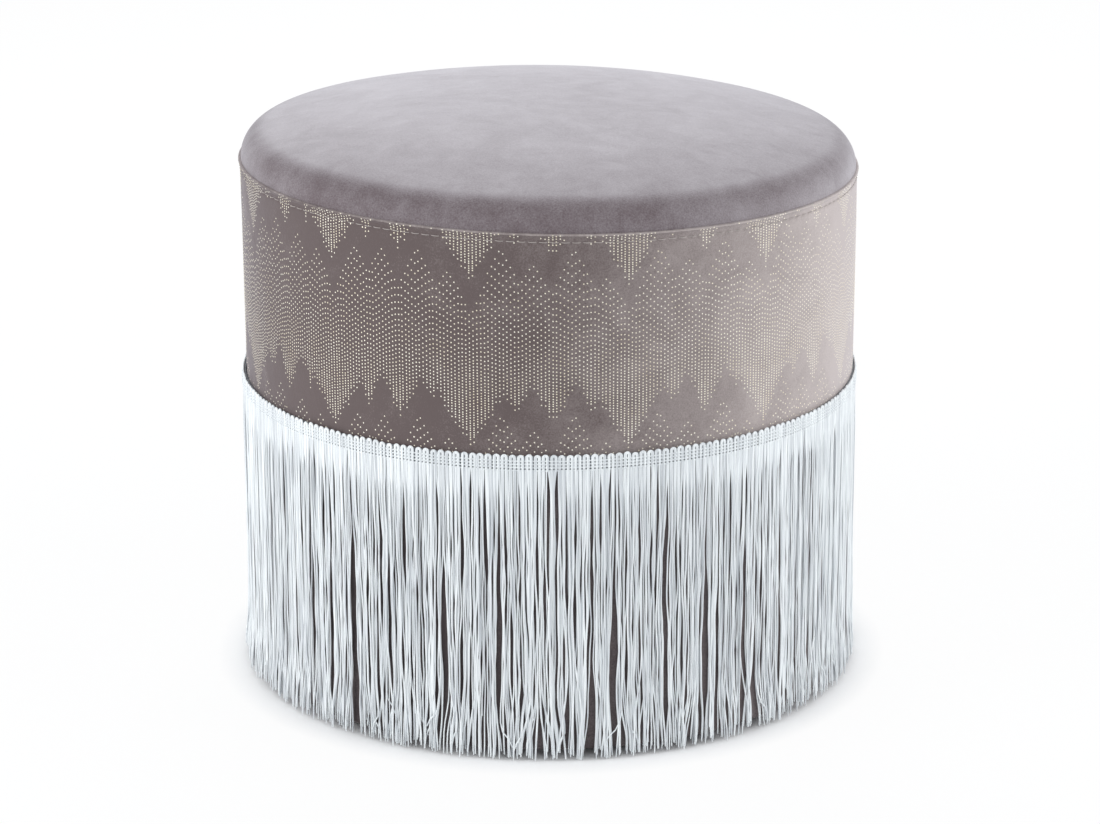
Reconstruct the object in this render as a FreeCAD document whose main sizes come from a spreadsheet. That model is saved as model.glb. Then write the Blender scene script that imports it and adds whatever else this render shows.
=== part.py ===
import FreeCAD
import Part
import math
import os
import Sketcher

# Fringed round tuffet: a drum of plywood and bent hardboard, padded, covered in printed velvet,
# with a crowned seat and a long fringe. Millimetres, +Z up, origin on the floor under the centre.

# Driving dimensions

SIZES = {
    "drum_diameter": 400,
    "seat_seam_height": 339,
    "crown_rise": 41,
    "shoulder_radius": 20,
    "crown_flat_radius": 60,
    "velvet_thickness": 1.2,
    "padding_thickness": 5,
    "layer_clearance": 0.2,
    "wall_thickness": 3,
    "butt_gap": 1,
    "joint_strip_width": 50,
    "joint_strip_thickness": 3,
    "base_board_thickness": 15,
    "seat_board_thickness": 12,
    "seat_board_top": 300,
    "post_width": 28,
    "staple_crown": 11,
    "staple_leg": 38,
    "staple_wire_width": 1.6,
    "staple_wire_thickness": 1.4,
    "staple_spread": 12,
    "fixing_clearance": 0.1,
    "hem_radius": 6,
    "turn_under": 45,
    "dust_cover_thickness": 0.4,
    "dust_cover_inset": 20,
    "glide_height": 4,
    "glide_diameter": 20,
    "glide_bevel": 1,
    "glide_inset": 33,
    "fringe_top": 200.8,
    "tape_height": 11,
    "tape_thickness": 0.8,
    "band_seam_drop": 5.6,
    "loop_height": 9,
    "loop_foot_width": 4.4,
    "loop_head_width": 3,
    "loop_thickness": 1.1,
    "bundle_width": 3.8,
    "bundle_thickness": 1.4,
    "bundle_flare": 1,
    "tip_height": 1.5,
    "tip_spread": 8,
}

# Counts

POSTS = 4
LOOPS = 232

# Straight steps that a crown is turned in: more on the velvet, fewer on what it hides

VELVET_STEPS = (3, 2)
HIDDEN_STEPS = (2, 1)

# Angles, in degrees: posts and glides stand on the diagonals, and the wall's butt joint faces +Y

POST_ANGLE = 45
BACK_ANGLE = 90
GOLDEN_SHARE = (math.sqrt(5) - 1) / 2

# Radii from the outside in, as expressions on the sheet

DRUM = "(Sizes.drum_diameter / 2)"
GAP = "Sizes.layer_clearance"
VELVET = "Sizes.velvet_thickness"
BAND_INSIDE = f"({DRUM} - {VELVET})"
FOAM_OUTSIDE = f"({BAND_INSIDE} - {GAP})"
FOAM_INSIDE = f"({FOAM_OUTSIDE} - Sizes.padding_thickness)"
WALL_OUTSIDE = f"({FOAM_INSIDE} - {GAP})"
WALL_INSIDE = f"({WALL_OUTSIDE} - Sizes.wall_thickness)"
BOARD = f"({WALL_INSIDE} - {GAP})"
POST_CENTRE = f"(sqrt({BOARD}^2 - (Sizes.post_width / 2)^2) - {GAP} - Sizes.post_width / 2)"
SEAT_FOAM = f"({FOAM_INSIDE} - {GAP})"
HEM_CENTRE = f"({DRUM} - Sizes.hem_radius)"
TAPE_INSIDE = f"({DRUM} + {GAP})"
TAPE_OUTSIDE = f"({TAPE_INSIDE} + Sizes.tape_thickness)"
YARN_INSIDE = f"({TAPE_OUTSIDE} + Sizes.fixing_clearance)"
TURN_UNDER_INSIDE = f"({DRUM} - Sizes.turn_under)"
DUST_COVER = f"({DRUM} - Sizes.dust_cover_inset)"
GLIDE_CENTRE = f"({DRUM} - Sizes.glide_inset)"

# Levels from the floor up

DUST_UNDER = "Sizes.glide_height"
HEM_UNDER = f"({DUST_UNDER} + Sizes.dust_cover_thickness)"
BASE_UNDER = f"({HEM_UNDER} + {VELVET})"
BASE_TOP = f"({BASE_UNDER} + Sizes.base_board_thickness)"
SEAT_TOP = "Sizes.seat_board_top"
SEAT_UNDER = f"({SEAT_TOP} - Sizes.seat_board_thickness)"
HEM_BEND = f"({HEM_UNDER} + Sizes.hem_radius)"
SEAM = "Sizes.seat_seam_height"
CROWN_TOP = f"({SEAM} + Sizes.crown_rise)"
TAPE_UNDER = "(Sizes.fringe_top - Sizes.tape_height)"
LOOP_UNDER = "(Sizes.fringe_top - Sizes.loop_height)"
BAND_SEAM = "(Sizes.fringe_top - Sizes.band_seam_drop)"
GROW = "Sizes.fixing_clearance"

# The seat's crown: one large arc, tangent to the shoulder arc that turns down to the seam

SHOULDER_CENTRE = f"({DRUM} - Sizes.shoulder_radius)"
CROWN_HEIGHT = f"({CROWN_TOP} - {SEAM})"
CROWN_RADIUS = (
    f"(({CROWN_HEIGHT}^2 + {SHOULDER_CENTRE}^2 - Sizes.shoulder_radius^2)"
    f" / (2 * ({CROWN_HEIGHT} - Sizes.shoulder_radius)))"
)
SHOULDER_TURN = f"acos({SHOULDER_CENTRE} / ({CROWN_RADIUS} - Sizes.shoulder_radius))"
CROWN_TURN = f"(90 deg - {SHOULDER_TURN})"
FLAT_TURN = f"asin(Sizes.crown_flat_radius / {CROWN_RADIUS})"
FOAM_DEPTH = f"({VELVET} + {GAP})"

# Each post has a pair of long staples in each end: across the post, head face and way of the legs

BASE_STAPLE = (BASE_UNDER, 1)
SEAT_STAPLE = (SEAT_TOP, -1)
SIDES = (-1, 1)


def make_sheet(doc):
    """Write the driving dimensions into a spreadsheet, one alias each."""
    sheet = doc.addObject("Spreadsheet::Sheet", "Sizes")
    for row, (alias, value) in enumerate(SIZES.items(), start=1):
        sheet.set(f"A{row}", alias)
        sheet.set(f"B{row}", str(value))
        sheet.setAlias(f"B{row}", alias)
    doc.recompute()
    return sheet


def size(doc, expression):
    """Return the number that an expression on the sheet has now."""
    return float(doc.Sizes.evalExpression(expression))


def new_body(doc, label):
    """Return an empty body that carries one sub-part."""
    body = doc.addObject("PartDesign::Body", label)
    body.Label = label
    return body


def origin_feature(body, role):
    """Return one plane or axis of the body's own origin."""
    return next(item for item in body.Origin.OriginFeatures if item.Role == role)


def new_sketch(body, name, role, offset=None):
    """Return a sketch on one of the body's origin planes, moved along its normal by offset."""
    sketch = body.newObject("Sketcher::SketchObject", name)
    sketch.AttachmentSupport = [(origin_feature(body, role), "")]
    sketch.MapMode = "FlatFace"
    if offset is not None:
        sketch.setExpression(".AttachmentOffset.Base.z", offset)
    return sketch


def pin_coordinate(sketch, kind, geometry, point, expression):
    """Hold one coordinate of a sketch point at the value of an expression."""
    value = size(sketch.Document, expression)
    if abs(value) < 1e-9:
        axis = -2 if kind == "DistanceX" else -1
        sketch.addConstraint(Sketcher.Constraint("PointOnObject", geometry, point, axis))
        return
    if value < 0:
        index = sketch.addConstraint(Sketcher.Constraint(kind, geometry, point, -1, 1, -value))
        sketch.setExpression(f"Constraints[{index}]", f"-({expression})")
        return
    index = sketch.addConstraint(Sketcher.Constraint(kind, -1, 1, geometry, point, value))
    sketch.setExpression(f"Constraints[{index}]", expression)


def draw_outline(sketch, corners):
    """Draw a closed outline of straight edges whose corners are pairs of expressions."""
    doc = sketch.Document
    places = [FreeCAD.Vector(size(doc, across), size(doc, up), 0) for across, up in corners]
    count = len(places)
    for index, place in enumerate(places):
        sketch.addGeometry(Part.LineSegment(place, places[(index + 1) % count]))
    for index in range(count):
        joined = Sketcher.Constraint("Coincident", index, 2, (index + 1) % count, 1)
        sketch.addConstraint(joined)
    for index, (across, up) in enumerate(corners):
        pin_coordinate(sketch, "DistanceX", index, 1, across)
        pin_coordinate(sketch, "DistanceY", index, 1, up)


def draw_circle(sketch, across, up, diameter):
    """Draw a circle whose centre and diameter are expressions."""
    doc = sketch.Document
    centre = FreeCAD.Vector(size(doc, across), size(doc, up), 0)
    circle = Part.Circle(centre, FreeCAD.Vector(0, 0, 1), size(doc, diameter) / 2)
    index = sketch.addGeometry(circle)
    held = sketch.addConstraint(Sketcher.Constraint("Diameter", index, size(doc, diameter)))
    sketch.setExpression(f"Constraints[{held}]", diameter)
    pin_coordinate(sketch, "DistanceX", index, 3, across)
    pin_coordinate(sketch, "DistanceY", index, 3, up)


def box_corners(low_across, low_up, high_across, high_up):
    """Return the four corners of a rectangle, anticlockwise."""
    return [
        (low_across, low_up),
        (high_across, low_up),
        (high_across, high_up),
        (low_across, high_up),
    ]


def turn(body, name, corners):
    """Revolve a half section about the body's Z axis."""
    sketch = new_sketch(body, f"{name}_section", "XZ_Plane")
    draw_outline(sketch, corners)
    feature = body.newObject("PartDesign::Revolution", name)
    feature.Profile = sketch
    feature.ReferenceAxis = (sketch, ["V_Axis"])
    feature.Angle = 360
    return feature


def turn_about(body, name, centre, corners):
    """Revolve a half section about an upright axis at the distance centre from the body's Z axis."""
    sketch = new_sketch(body, f"{name}_section", "XZ_Plane")
    draw_outline(sketch, [(f"({centre} + {across})", up) for across, up in corners])
    middle = size(body.Document, centre)
    foot = FreeCAD.Vector(middle, 0, 0)
    head = FreeCAD.Vector(middle, 1, 0)
    axis = sketch.addGeometry(Part.LineSegment(foot, head), True)
    pin_coordinate(sketch, "DistanceX", axis, 1, centre)
    sketch.addConstraint(Sketcher.Constraint("PointOnObject", axis, 1, -1))
    sketch.addConstraint(Sketcher.Constraint("Vertical", axis))
    sketch.addConstraint(Sketcher.Constraint("DistanceY", axis, 1, axis, 2, 1))
    feature = body.newObject("PartDesign::Revolution", name)
    feature.Profile = sketch
    feature.ReferenceAxis = (sketch, ["Axis0"])
    feature.Angle = 360
    return feature


def pad(body, sketch, name, length, centred=False):
    """Raise a sketch by a length, or by half of it each way when centred."""
    feature = body.newObject("PartDesign::Pad", name)
    feature.Profile = sketch
    feature.setExpression("Length", length)
    feature.SideType = "Symmetric" if centred else "One side"
    return feature


def pocket(body, sketch, name, length, centred=False, upward=False):
    """Cut a sketch into the solid by a length."""
    feature = body.newObject("PartDesign::Pocket", name)
    feature.Profile = sketch
    feature.setExpression("Length", length)
    feature.SideType = "Symmetric" if centred else "One side"
    feature.Reversed = upward
    return feature


def repeat_round(body, features, name, count):
    """Repeat some of a body's features evenly about its Z axis."""
    pattern = body.newObject("PartDesign::PolarPattern", name)
    pattern.Originals = features
    pattern.Axis = (origin_feature(body, "Z_Axis"), [""])
    pattern.Angle = 360
    pattern.Occurrences = count
    body.Tip = pattern
    return pattern


def spin(body, degrees):
    """Place a body turned about the Z axis."""
    rotation = FreeCAD.Rotation(FreeCAD.Vector(0, 0, 1), degrees)
    body.Placement = FreeCAD.Placement(FreeCAD.Vector(0, 0, 0), rotation)


def crown_corners(depth, steps):
    """Return a crown's corners from the shoulder in to the axis, at a depth under its outside.

    The shoulder and the crown are divided into equal turns, with a flat disc in the middle.
    """
    shoulder_steps, crown_steps = steps
    radius = f"(Sizes.shoulder_radius - {depth})"
    corners = []
    for step in range(shoulder_steps):
        turned = f"({SHOULDER_TURN} * {step} / {shoulder_steps})"
        across = f"({SHOULDER_CENTRE} + {radius} * cos({turned}))"
        corners.append((across, f"({SEAM} + {radius} * sin({turned}))"))
    radius = f"({CROWN_RADIUS} - {depth})"
    centre = f"({CROWN_TOP} - {CROWN_RADIUS})"
    for step in range(crown_steps + 1):
        share = f"({step} / {crown_steps})"
        turned = f"({CROWN_TURN} + ({FLAT_TURN} - {CROWN_TURN}) * {share})"
        corners.append((f"({radius} * sin({turned}))", f"({centre} + {radius} * cos({turned}))"))
    corners.append(("0", f"({centre} + {radius} * cos({FLAT_TURN}))"))
    return corners


def staple_corners(place, grow="0"):
    """Return a staple's outline across its post: a crown and two legs, grown by a clearance."""
    face, way = place
    half = f"(Sizes.staple_crown / 2 + {grow})"
    neck = f"(Sizes.staple_crown / 2 - Sizes.staple_wire_width - {grow})"
    outside = f"({face} - {way} * {grow})" if grow != "0" else face
    inside = f"({face} + {way} * (Sizes.staple_wire_thickness + {grow}))"
    tip = f"({face} + {way} * (Sizes.staple_leg + {grow}))"
    return [
        (f"-{half}", outside),
        (half, outside),
        (half, tip),
        (neck, tip),
        (neck, inside),
        (f"-{neck}", inside),
        (f"-{neck}", tip),
        (f"-{half}", tip),
    ]


def staple_sketch(body, name, place, side, grow="0"):
    """Draw one of a post's two staples in the upright plane that it lies in."""
    offset = f"({POST_CENTRE} + {side} * Sizes.staple_spread / 2)"
    sketch = new_sketch(body, f"{name}_outline", "YZ_Plane", offset)
    draw_outline(sketch, staple_corners(place, grow))
    return sketch


def cut_staple_slots(body, name, place):
    """Cut the slots of one post's two staples."""
    width = f"(Sizes.staple_wire_width + 2 * {GROW})"
    cuts = []
    for side in SIDES:
        label = f"{name}_{'inner' if side < 0 else 'outer'}"
        sketch = staple_sketch(body, label, place, side, GROW)
        cuts.append(pocket(body, sketch, f"{label}_slot", width, centred=True))
    return cuts


def make_disc(doc, label, radius, under, thickness):
    """Return a round board or sheet."""
    body = new_body(doc, label)
    sketch = new_sketch(body, f"{label}_outline", "XY_Plane", under)
    draw_circle(sketch, "0", "0", f"2 * {radius}")
    pad(body, sketch, f"{label}_sheet", thickness)
    return body


def make_board(doc, label, under, thickness, place):
    """Plywood disc, slotted for the staples that go through it into the four posts."""
    body = make_disc(doc, label, BOARD, under, thickness)
    cuts = cut_staple_slots(body, label, place)
    repeat_round(body, cuts, f"{label}_slots", POSTS)
    spin(body, POST_ANGLE)
    return body


def make_post(doc, number):
    """One square batten between the boards, slotted at both ends."""
    label = f"post_{number}"
    body = new_body(doc, label)
    half = "Sizes.post_width / 2"
    sketch = new_sketch(body, f"{label}_outline", "XY_Plane", BASE_TOP)
    near = f"({POST_CENTRE} - {half})"
    far = f"({POST_CENTRE} + {half})"
    draw_outline(sketch, box_corners(near, f"-{half}", far, half))
    pad(body, sketch, f"{label}_batten", f"({SEAT_UNDER} - {BASE_TOP})")
    cut_staple_slots(body, f"{label}_base", BASE_STAPLE)
    cut_staple_slots(body, f"{label}_seat", SEAT_STAPLE)
    spin(body, POST_ANGLE + 360 / POSTS * (number - 1))
    return body


def make_staples(doc, label, place):
    """The staples that hold one board to the four posts."""
    body = new_body(doc, label)
    wires = []
    for side in SIDES:
        name = f"{label}_{'inner' if side < 0 else 'outer'}"
        sketch = staple_sketch(body, name, place, side)
        wires.append(pad(body, sketch, f"{name}_wire", "Sizes.staple_wire_width", centred=True))
    repeat_round(body, wires, f"{label}_ring", POSTS)
    spin(body, POST_ANGLE)
    return body


def make_wall_panel(doc):
    """Thin hardboard bent round both boards, with an open butt joint at the back."""
    body = new_body(doc, "wall_panel")
    turn(body, "wall_shell", box_corners(WALL_INSIDE, BASE_UNDER, WALL_OUTSIDE, SEAT_TOP))
    sketch = new_sketch(body, "butt_joint", "XY_Plane")
    half = "(Sizes.butt_gap / 2)"
    draw_outline(sketch, box_corners(f"-{half}", BOARD, half, FOAM_INSIDE))
    pocket(body, sketch, "butt_joint_cut", f"({SEAT_TOP} + {GAP})", upward=True)
    return body


def make_joint_strip(doc):
    """Curved strip glued behind the wall's butt joint, between the boards."""
    body = new_body(doc, "wall_joint_strip")
    inside = f"({BOARD} - Sizes.joint_strip_thickness)"
    low = f"({BASE_TOP} + {GAP})"
    high = f"({SEAT_UNDER} - {GAP})"
    strip = turn(body, "joint_strip", box_corners(inside, low, BOARD, high))
    strip.setExpression("Angle", f"Sizes.joint_strip_width / {BOARD} * 180 / pi")
    strip.Midplane = True
    spin(body, BACK_ANGLE)
    return body


def make_side_foam(doc):
    """Thin foam glued round the wall, from the bend of the hem up to the seat seam."""
    body = new_body(doc, "side_foam")
    turn(body, "side_foam_ring", box_corners(FOAM_INSIDE, HEM_BEND, FOAM_OUTSIDE, SEAM))
    return body


def make_seat_foam(doc):
    """Thick crowned foam on the seat board, stepped out over the side foam."""
    body = new_body(doc, "seat_foam")
    foot = [("0", SEAT_TOP), (SEAT_FOAM, SEAT_TOP), (SEAT_FOAM, SEAM)]
    turn(body, "seat_foam_crown", foot + crown_corners(FOAM_DEPTH, HIDDEN_STEPS))
    return body


def make_seat_cover(doc):
    """Velvet seat panel, crowned, with its rim on the printed band."""
    body = new_body(doc, "seat_cover")
    outer = crown_corners("0", VELVET_STEPS)
    inner = crown_corners(VELVET, HIDDEN_STEPS)[::-1]
    turn(body, "seat_cover_panel", outer + inner)
    return body


def make_printed_band(doc):
    """Upper velvet band, sewn to the seat panel above and to the plain band below."""
    body = new_body(doc, "printed_band")
    turn(body, "printed_band_ring", box_corners(BAND_INSIDE, BAND_SEAM, DRUM, SEAM))
    return body


def make_plain_band(doc):
    """Lower velvet band behind the fringe, turned under the base board."""
    body = new_body(doc, "plain_band")
    corners = [
        (TURN_UNDER_INSIDE, HEM_UNDER),
        (HEM_CENTRE, HEM_UNDER),
        (DRUM, HEM_BEND),
        (DRUM, BAND_SEAM),
        (BAND_INSIDE, BAND_SEAM),
        (BAND_INSIDE, HEM_BEND),
        (HEM_CENTRE, BASE_UNDER),
        (TURN_UNDER_INSIDE, BASE_UNDER),
    ]
    turn(body, "plain_band_ring", corners)
    return body


def make_dust_cover(doc):
    """Round dust cover over the turned hem."""
    return make_disc(doc, "dust_cover", DUST_COVER, DUST_UNDER, "Sizes.dust_cover_thickness")


def make_glide(doc, number):
    """One round plastic glide with a bevelled lower edge."""
    label = f"glide_{number}"
    body = new_body(doc, label)
    radius = "Sizes.glide_diameter / 2"
    corners = [
        ("0", "0"),
        (f"({radius} - Sizes.glide_bevel)", "0"),
        (radius, "Sizes.glide_bevel"),
        (radius, "Sizes.glide_height"),
        ("0", "Sizes.glide_height"),
    ]
    turn_about(body, f"{label}_button", GLIDE_CENTRE, corners)
    spin(body, POST_ANGLE + 360 / POSTS * (number - 1))
    return body


def make_fringe_tape(doc):
    """Woven heading tape that carries the loops and the strands, sewn over the band seam."""
    body = new_body(doc, "fringe_tape")
    corners = box_corners(TAPE_INSIDE, TAPE_UNDER, TAPE_OUTSIDE, "Sizes.fringe_top")
    turn(body, "fringe_tape_ring", corners)
    return body


def place_round(radius, across, up, angle):
    """Return the point on a drum at a radius, given a distance across the tangent plane and a height."""
    along = FreeCAD.Vector(-math.sin(angle), math.cos(angle), 0)
    outwards = FreeCAD.Vector(math.cos(angle), math.sin(angle), 0)
    return outwards * radius + along * across + FreeCAD.Vector(0, 0, up)


def add_group(doc, label, solids):
    """Hold many separate small solids as one sub-part."""
    group = doc.addObject("Part::Feature", label)
    group.Label = label
    group.Shape = Part.makeCompound(solids)
    group.Placement = FreeCAD.Placement()
    return group


def make_fringe_loops(doc):
    """Row of upright yarn loops along the heading tape, each narrower at its head."""
    radius = size(doc, YARN_INSIDE)
    depth = size(doc, "Sizes.loop_thickness")
    under = size(doc, LOOP_UNDER)
    top = size(doc, "Sizes.fringe_top")
    foot = size(doc, "Sizes.loop_foot_width") / 2
    head = size(doc, "Sizes.loop_head_width") / 2
    outline = [(-foot, under), (foot, under), (head, top), (-head, top)]
    loops = []
    for number in range(LOOPS):
        angle = 2 * math.pi * number / LOOPS
        corners = [place_round(radius, across, up, angle) for across, up in outline]
        face = Part.Face(Part.makePolygon(corners + corners[:1]))
        loops.append(face.extrude(place_round(depth, 0, 0, angle)))
    return add_group(doc, "fringe_loops", loops)


def make_fringe_strands(doc):
    """Long three-sided bundles of yarn, one from each loop, that flare and end at uneven heights."""
    inner = size(doc, YARN_INSIDE)
    outer = inner + size(doc, "Sizes.bundle_thickness")
    half = size(doc, "Sizes.bundle_width") / 2
    top = size(doc, f"({LOOP_UNDER} - {GROW})")
    flare = size(doc, "Sizes.bundle_flare")
    lowest = size(doc, "Sizes.tip_height")
    spread = size(doc, "Sizes.tip_spread")
    bundles = []
    for number in range(LOOPS):
        angle = 2 * math.pi * number / LOOPS
        corners = [
            place_round(inner, -half, top, angle),
            place_round(outer, 0, top, angle),
            place_round(inner, half, top, angle),
        ]
        face = Part.Face(Part.makePolygon(corners + corners[:1]))
        tip = lowest + spread * (number * GOLDEN_SHARE % 1) ** 2
        bundles.append(face.extrude(place_round(flare, 0, tip - top, angle)))
    return add_group(doc, "fringe_strands", bundles)


def make_parts(doc):
    """Build every sub-part and return them in the order in which the tuffet goes together."""
    numbers = range(1, POSTS + 1)
    base_thickness = "Sizes.base_board_thickness"
    seat_thickness = "Sizes.seat_board_thickness"
    frame = [
        make_board(doc, "base_board", BASE_UNDER, base_thickness, BASE_STAPLE),
        make_board(doc, "seat_board", SEAT_UNDER, seat_thickness, SEAT_STAPLE),
    ]
    frame += [make_post(doc, number) for number in numbers]
    frame.append(make_staples(doc, "base_staples", BASE_STAPLE))
    frame.append(make_staples(doc, "seat_staples", SEAT_STAPLE))
    wall = [make_wall_panel(doc), make_joint_strip(doc)]
    padding = [make_side_foam(doc), make_seat_foam(doc)]
    cover = [make_seat_cover(doc), make_printed_band(doc), make_plain_band(doc)]
    fringe = [make_fringe_tape(doc), make_fringe_loops(doc), make_fringe_strands(doc)]
    under = [make_dust_cover(doc)] + [make_glide(doc, number) for number in numbers]
    return frame + wall + padding + cover + fringe + under


def check(doc, parts):
    """Stop if an object failed to compute or a sub-part's shape is empty or invalid."""
    for item in doc.Objects:
        if "Invalid" in item.State or "Error" in item.State:
            raise RuntimeError(f"{item.Name} failed: {item.State}")
    for part in parts:
        if part.Shape.isNull() or not part.Shape.isValid() or not part.Shape.Solids:
            raise RuntimeError(f"{part.Label} has no valid solid")


def main():
    """Build the tuffet and write one file for each sub-part."""
    os.makedirs("parts", exist_ok=True)
    doc = FreeCAD.newDocument("tuffet")
    make_sheet(doc)
    parts = make_parts(doc)
    doc.recompute()
    check(doc, parts)
    for part in parts:
        part.Shape.exportStep(f"parts/{part.Label}.step")
        box = part.Shape.BoundBox
        print(f"{part.Label}: {len(part.Shape.Solids)} solids, z {box.ZMin:.2f} to {box.ZMax:.2f}")


main()
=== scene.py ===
"""Dresses the fringed round tuffet: velvet, foil print, looped fringe, frame and foot, in its studio."""

import logging
import math
from dataclasses import dataclass, field
from enum import Enum
from typing import Any, Iterable

import bmesh
import bpy
import numpy as np
from mathutils import Matrix, Vector


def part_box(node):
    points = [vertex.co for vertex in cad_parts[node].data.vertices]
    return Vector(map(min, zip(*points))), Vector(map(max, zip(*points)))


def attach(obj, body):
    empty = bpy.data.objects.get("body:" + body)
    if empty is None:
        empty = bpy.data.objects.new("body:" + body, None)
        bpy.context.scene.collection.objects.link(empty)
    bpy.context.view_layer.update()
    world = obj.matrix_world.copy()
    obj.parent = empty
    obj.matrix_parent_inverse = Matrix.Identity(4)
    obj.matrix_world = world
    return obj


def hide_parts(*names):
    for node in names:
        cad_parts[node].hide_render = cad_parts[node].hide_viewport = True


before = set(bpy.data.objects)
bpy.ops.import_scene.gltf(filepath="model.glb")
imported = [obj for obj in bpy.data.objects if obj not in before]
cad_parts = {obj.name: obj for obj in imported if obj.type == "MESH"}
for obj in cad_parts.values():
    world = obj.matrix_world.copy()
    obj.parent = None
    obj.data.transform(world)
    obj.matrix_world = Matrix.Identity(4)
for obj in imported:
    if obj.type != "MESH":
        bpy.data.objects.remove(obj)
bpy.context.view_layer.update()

MM = 0.001
TURN = 2 * math.pi
BACK = math.pi / 2
LOG = logging.getLogger("tuffet")

Colour = tuple[float, float, float, float]


class Slot(Enum):
    """The material slots of the record; each new piece names the one its finish stands for, though nothing
    reads it.
    """

    SEAT_VELVET = "seat_velvet"
    PRINTED_VELVET = "printed_velvet"
    PLAIN_VELVET = "plain_velvet"
    FRINGE_YARN = "fringe_yarn"
    FOAM = "foam"
    DUST_CLOTH = "dust_cloth"
    GLIDE_PLASTIC = "glide_plastic"
    STAPLE_WIRE = "staple_wire"


def tone(red: int, green: int, blue: int) -> Colour:
    """Turns a colour as it shows on a screen, 0 to 255, into the linear one that shaders use.

    Args:
        red: Red, 0 to 255.
        green: Green, 0 to 255.
        blue: Blue, 0 to 255.

    Returns:
        The linear colour, with an alpha of 1.
    """
    def linear(level: int) -> float:
        """Takes the screen's curve off one channel."""
        share = level / 255
        return share / 12.92 if share <= 0.04045 else ((share + 0.055) / 1.055) ** 2.4

    return (linear(red), linear(green), linear(blue), 1.0)


def ease(value: Any, start: float, end: float) -> Any:
    """Smooth step of a number or an array.

    Args:
        value: The number or array.
        start: Where the step is still 0.
        end: Where the step has become 1.

    Returns:
        The step, 0 to 1, of the same shape as value.
    """
    share = np.clip((value - start) / (end - start), 0.0, 1.0)
    return share * share * (3.0 - 2.0 * share)


def bell(value: Any, middle: float, width: float) -> Any:
    """A smooth bump of height 1 round a middle, width away from which it has fallen to 0.37."""
    return np.exp(-(((value - middle) / width) ** 2))


def around(radius: Any, angle: Any, height: Any) -> np.ndarray:
    """Places points round the upright axis.

    Args:
        radius: Distance from the axis, number or array.
        angle: Angle in radians, counted from +X towards +Y.
        height: Height above the floor.

    Returns:
        Points, with x, y and z on the last axis.
    """
    radius, angle, height = np.broadcast_arrays(radius, angle, height)
    return np.stack((radius * np.cos(angle), radius * np.sin(angle), height), axis=-1)


def turn_angles(count: int) -> np.ndarray:
    """Equal angles round a full turn, starting at the back seam."""
    return BACK + np.arange(count) * TURN / count


class Num:
    """A number that a finish works out on the surface, wrapped so that sums on it read as sums."""

    def __init__(self, recipe: "Recipe", socket: bpy.types.NodeSocket) -> None:
        """Wraps one output socket of a recipe."""
        self.recipe = recipe
        self.socket = socket

    def _sum(self, operation: str, first: Any, second: Any = None, clamp: bool = False) -> "Num":
        """Adds one Math node.

        Args:
            operation: The Math node's operation.
            first: Number or Num for its first socket.
            second: Number or Num for its second socket, if it has one.
            clamp: Whether the result is held between 0 and 1.

        Returns:
            The result.
        """
        sockets = {0: first} if second is None else {0: first, 1: second}
        node = self.recipe.node("ShaderNodeMath", {"operation": operation, "use_clamp": clamp}, sockets)
        return Num(self.recipe, node.outputs[0])

    def __add__(self, other: Any) -> "Num":
        """Sum with a number or Num."""
        return self._sum("ADD", self, other)

    __radd__ = __add__

    def __sub__(self, other: Any) -> "Num":
        """Difference, this minus the other."""
        return self._sum("SUBTRACT", self, other)

    def __rsub__(self, other: Any) -> "Num":
        """Difference, the other minus this."""
        return self._sum("SUBTRACT", other, self)

    def __mul__(self, other: Any) -> "Num":
        """Product with a number or Num."""
        return self._sum("MULTIPLY", self, other)

    __rmul__ = __mul__

    def __truediv__(self, other: Any) -> "Num":
        """Quotient, this over the other."""
        return self._sum("DIVIDE", self, other)

    def __pow__(self, other: Any) -> "Num":
        """This to the power of the other."""
        return self._sum("POWER", self, other)

    def __gt__(self, other: Any) -> "Num":
        """1 where this is above the other, otherwise 0."""
        return self._sum("GREATER_THAN", self, other)

    def part(self) -> "Num":
        """The part after the point."""
        return self._sum("FRACT", self)

    def wave(self) -> "Num":
        """The sine of an angle in radians."""
        return self._sum("SINE", self)

    def held(self) -> "Num":
        """Held between 0 and 1."""
        return self._sum("ADD", self, 0.0, clamp=True)


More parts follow.
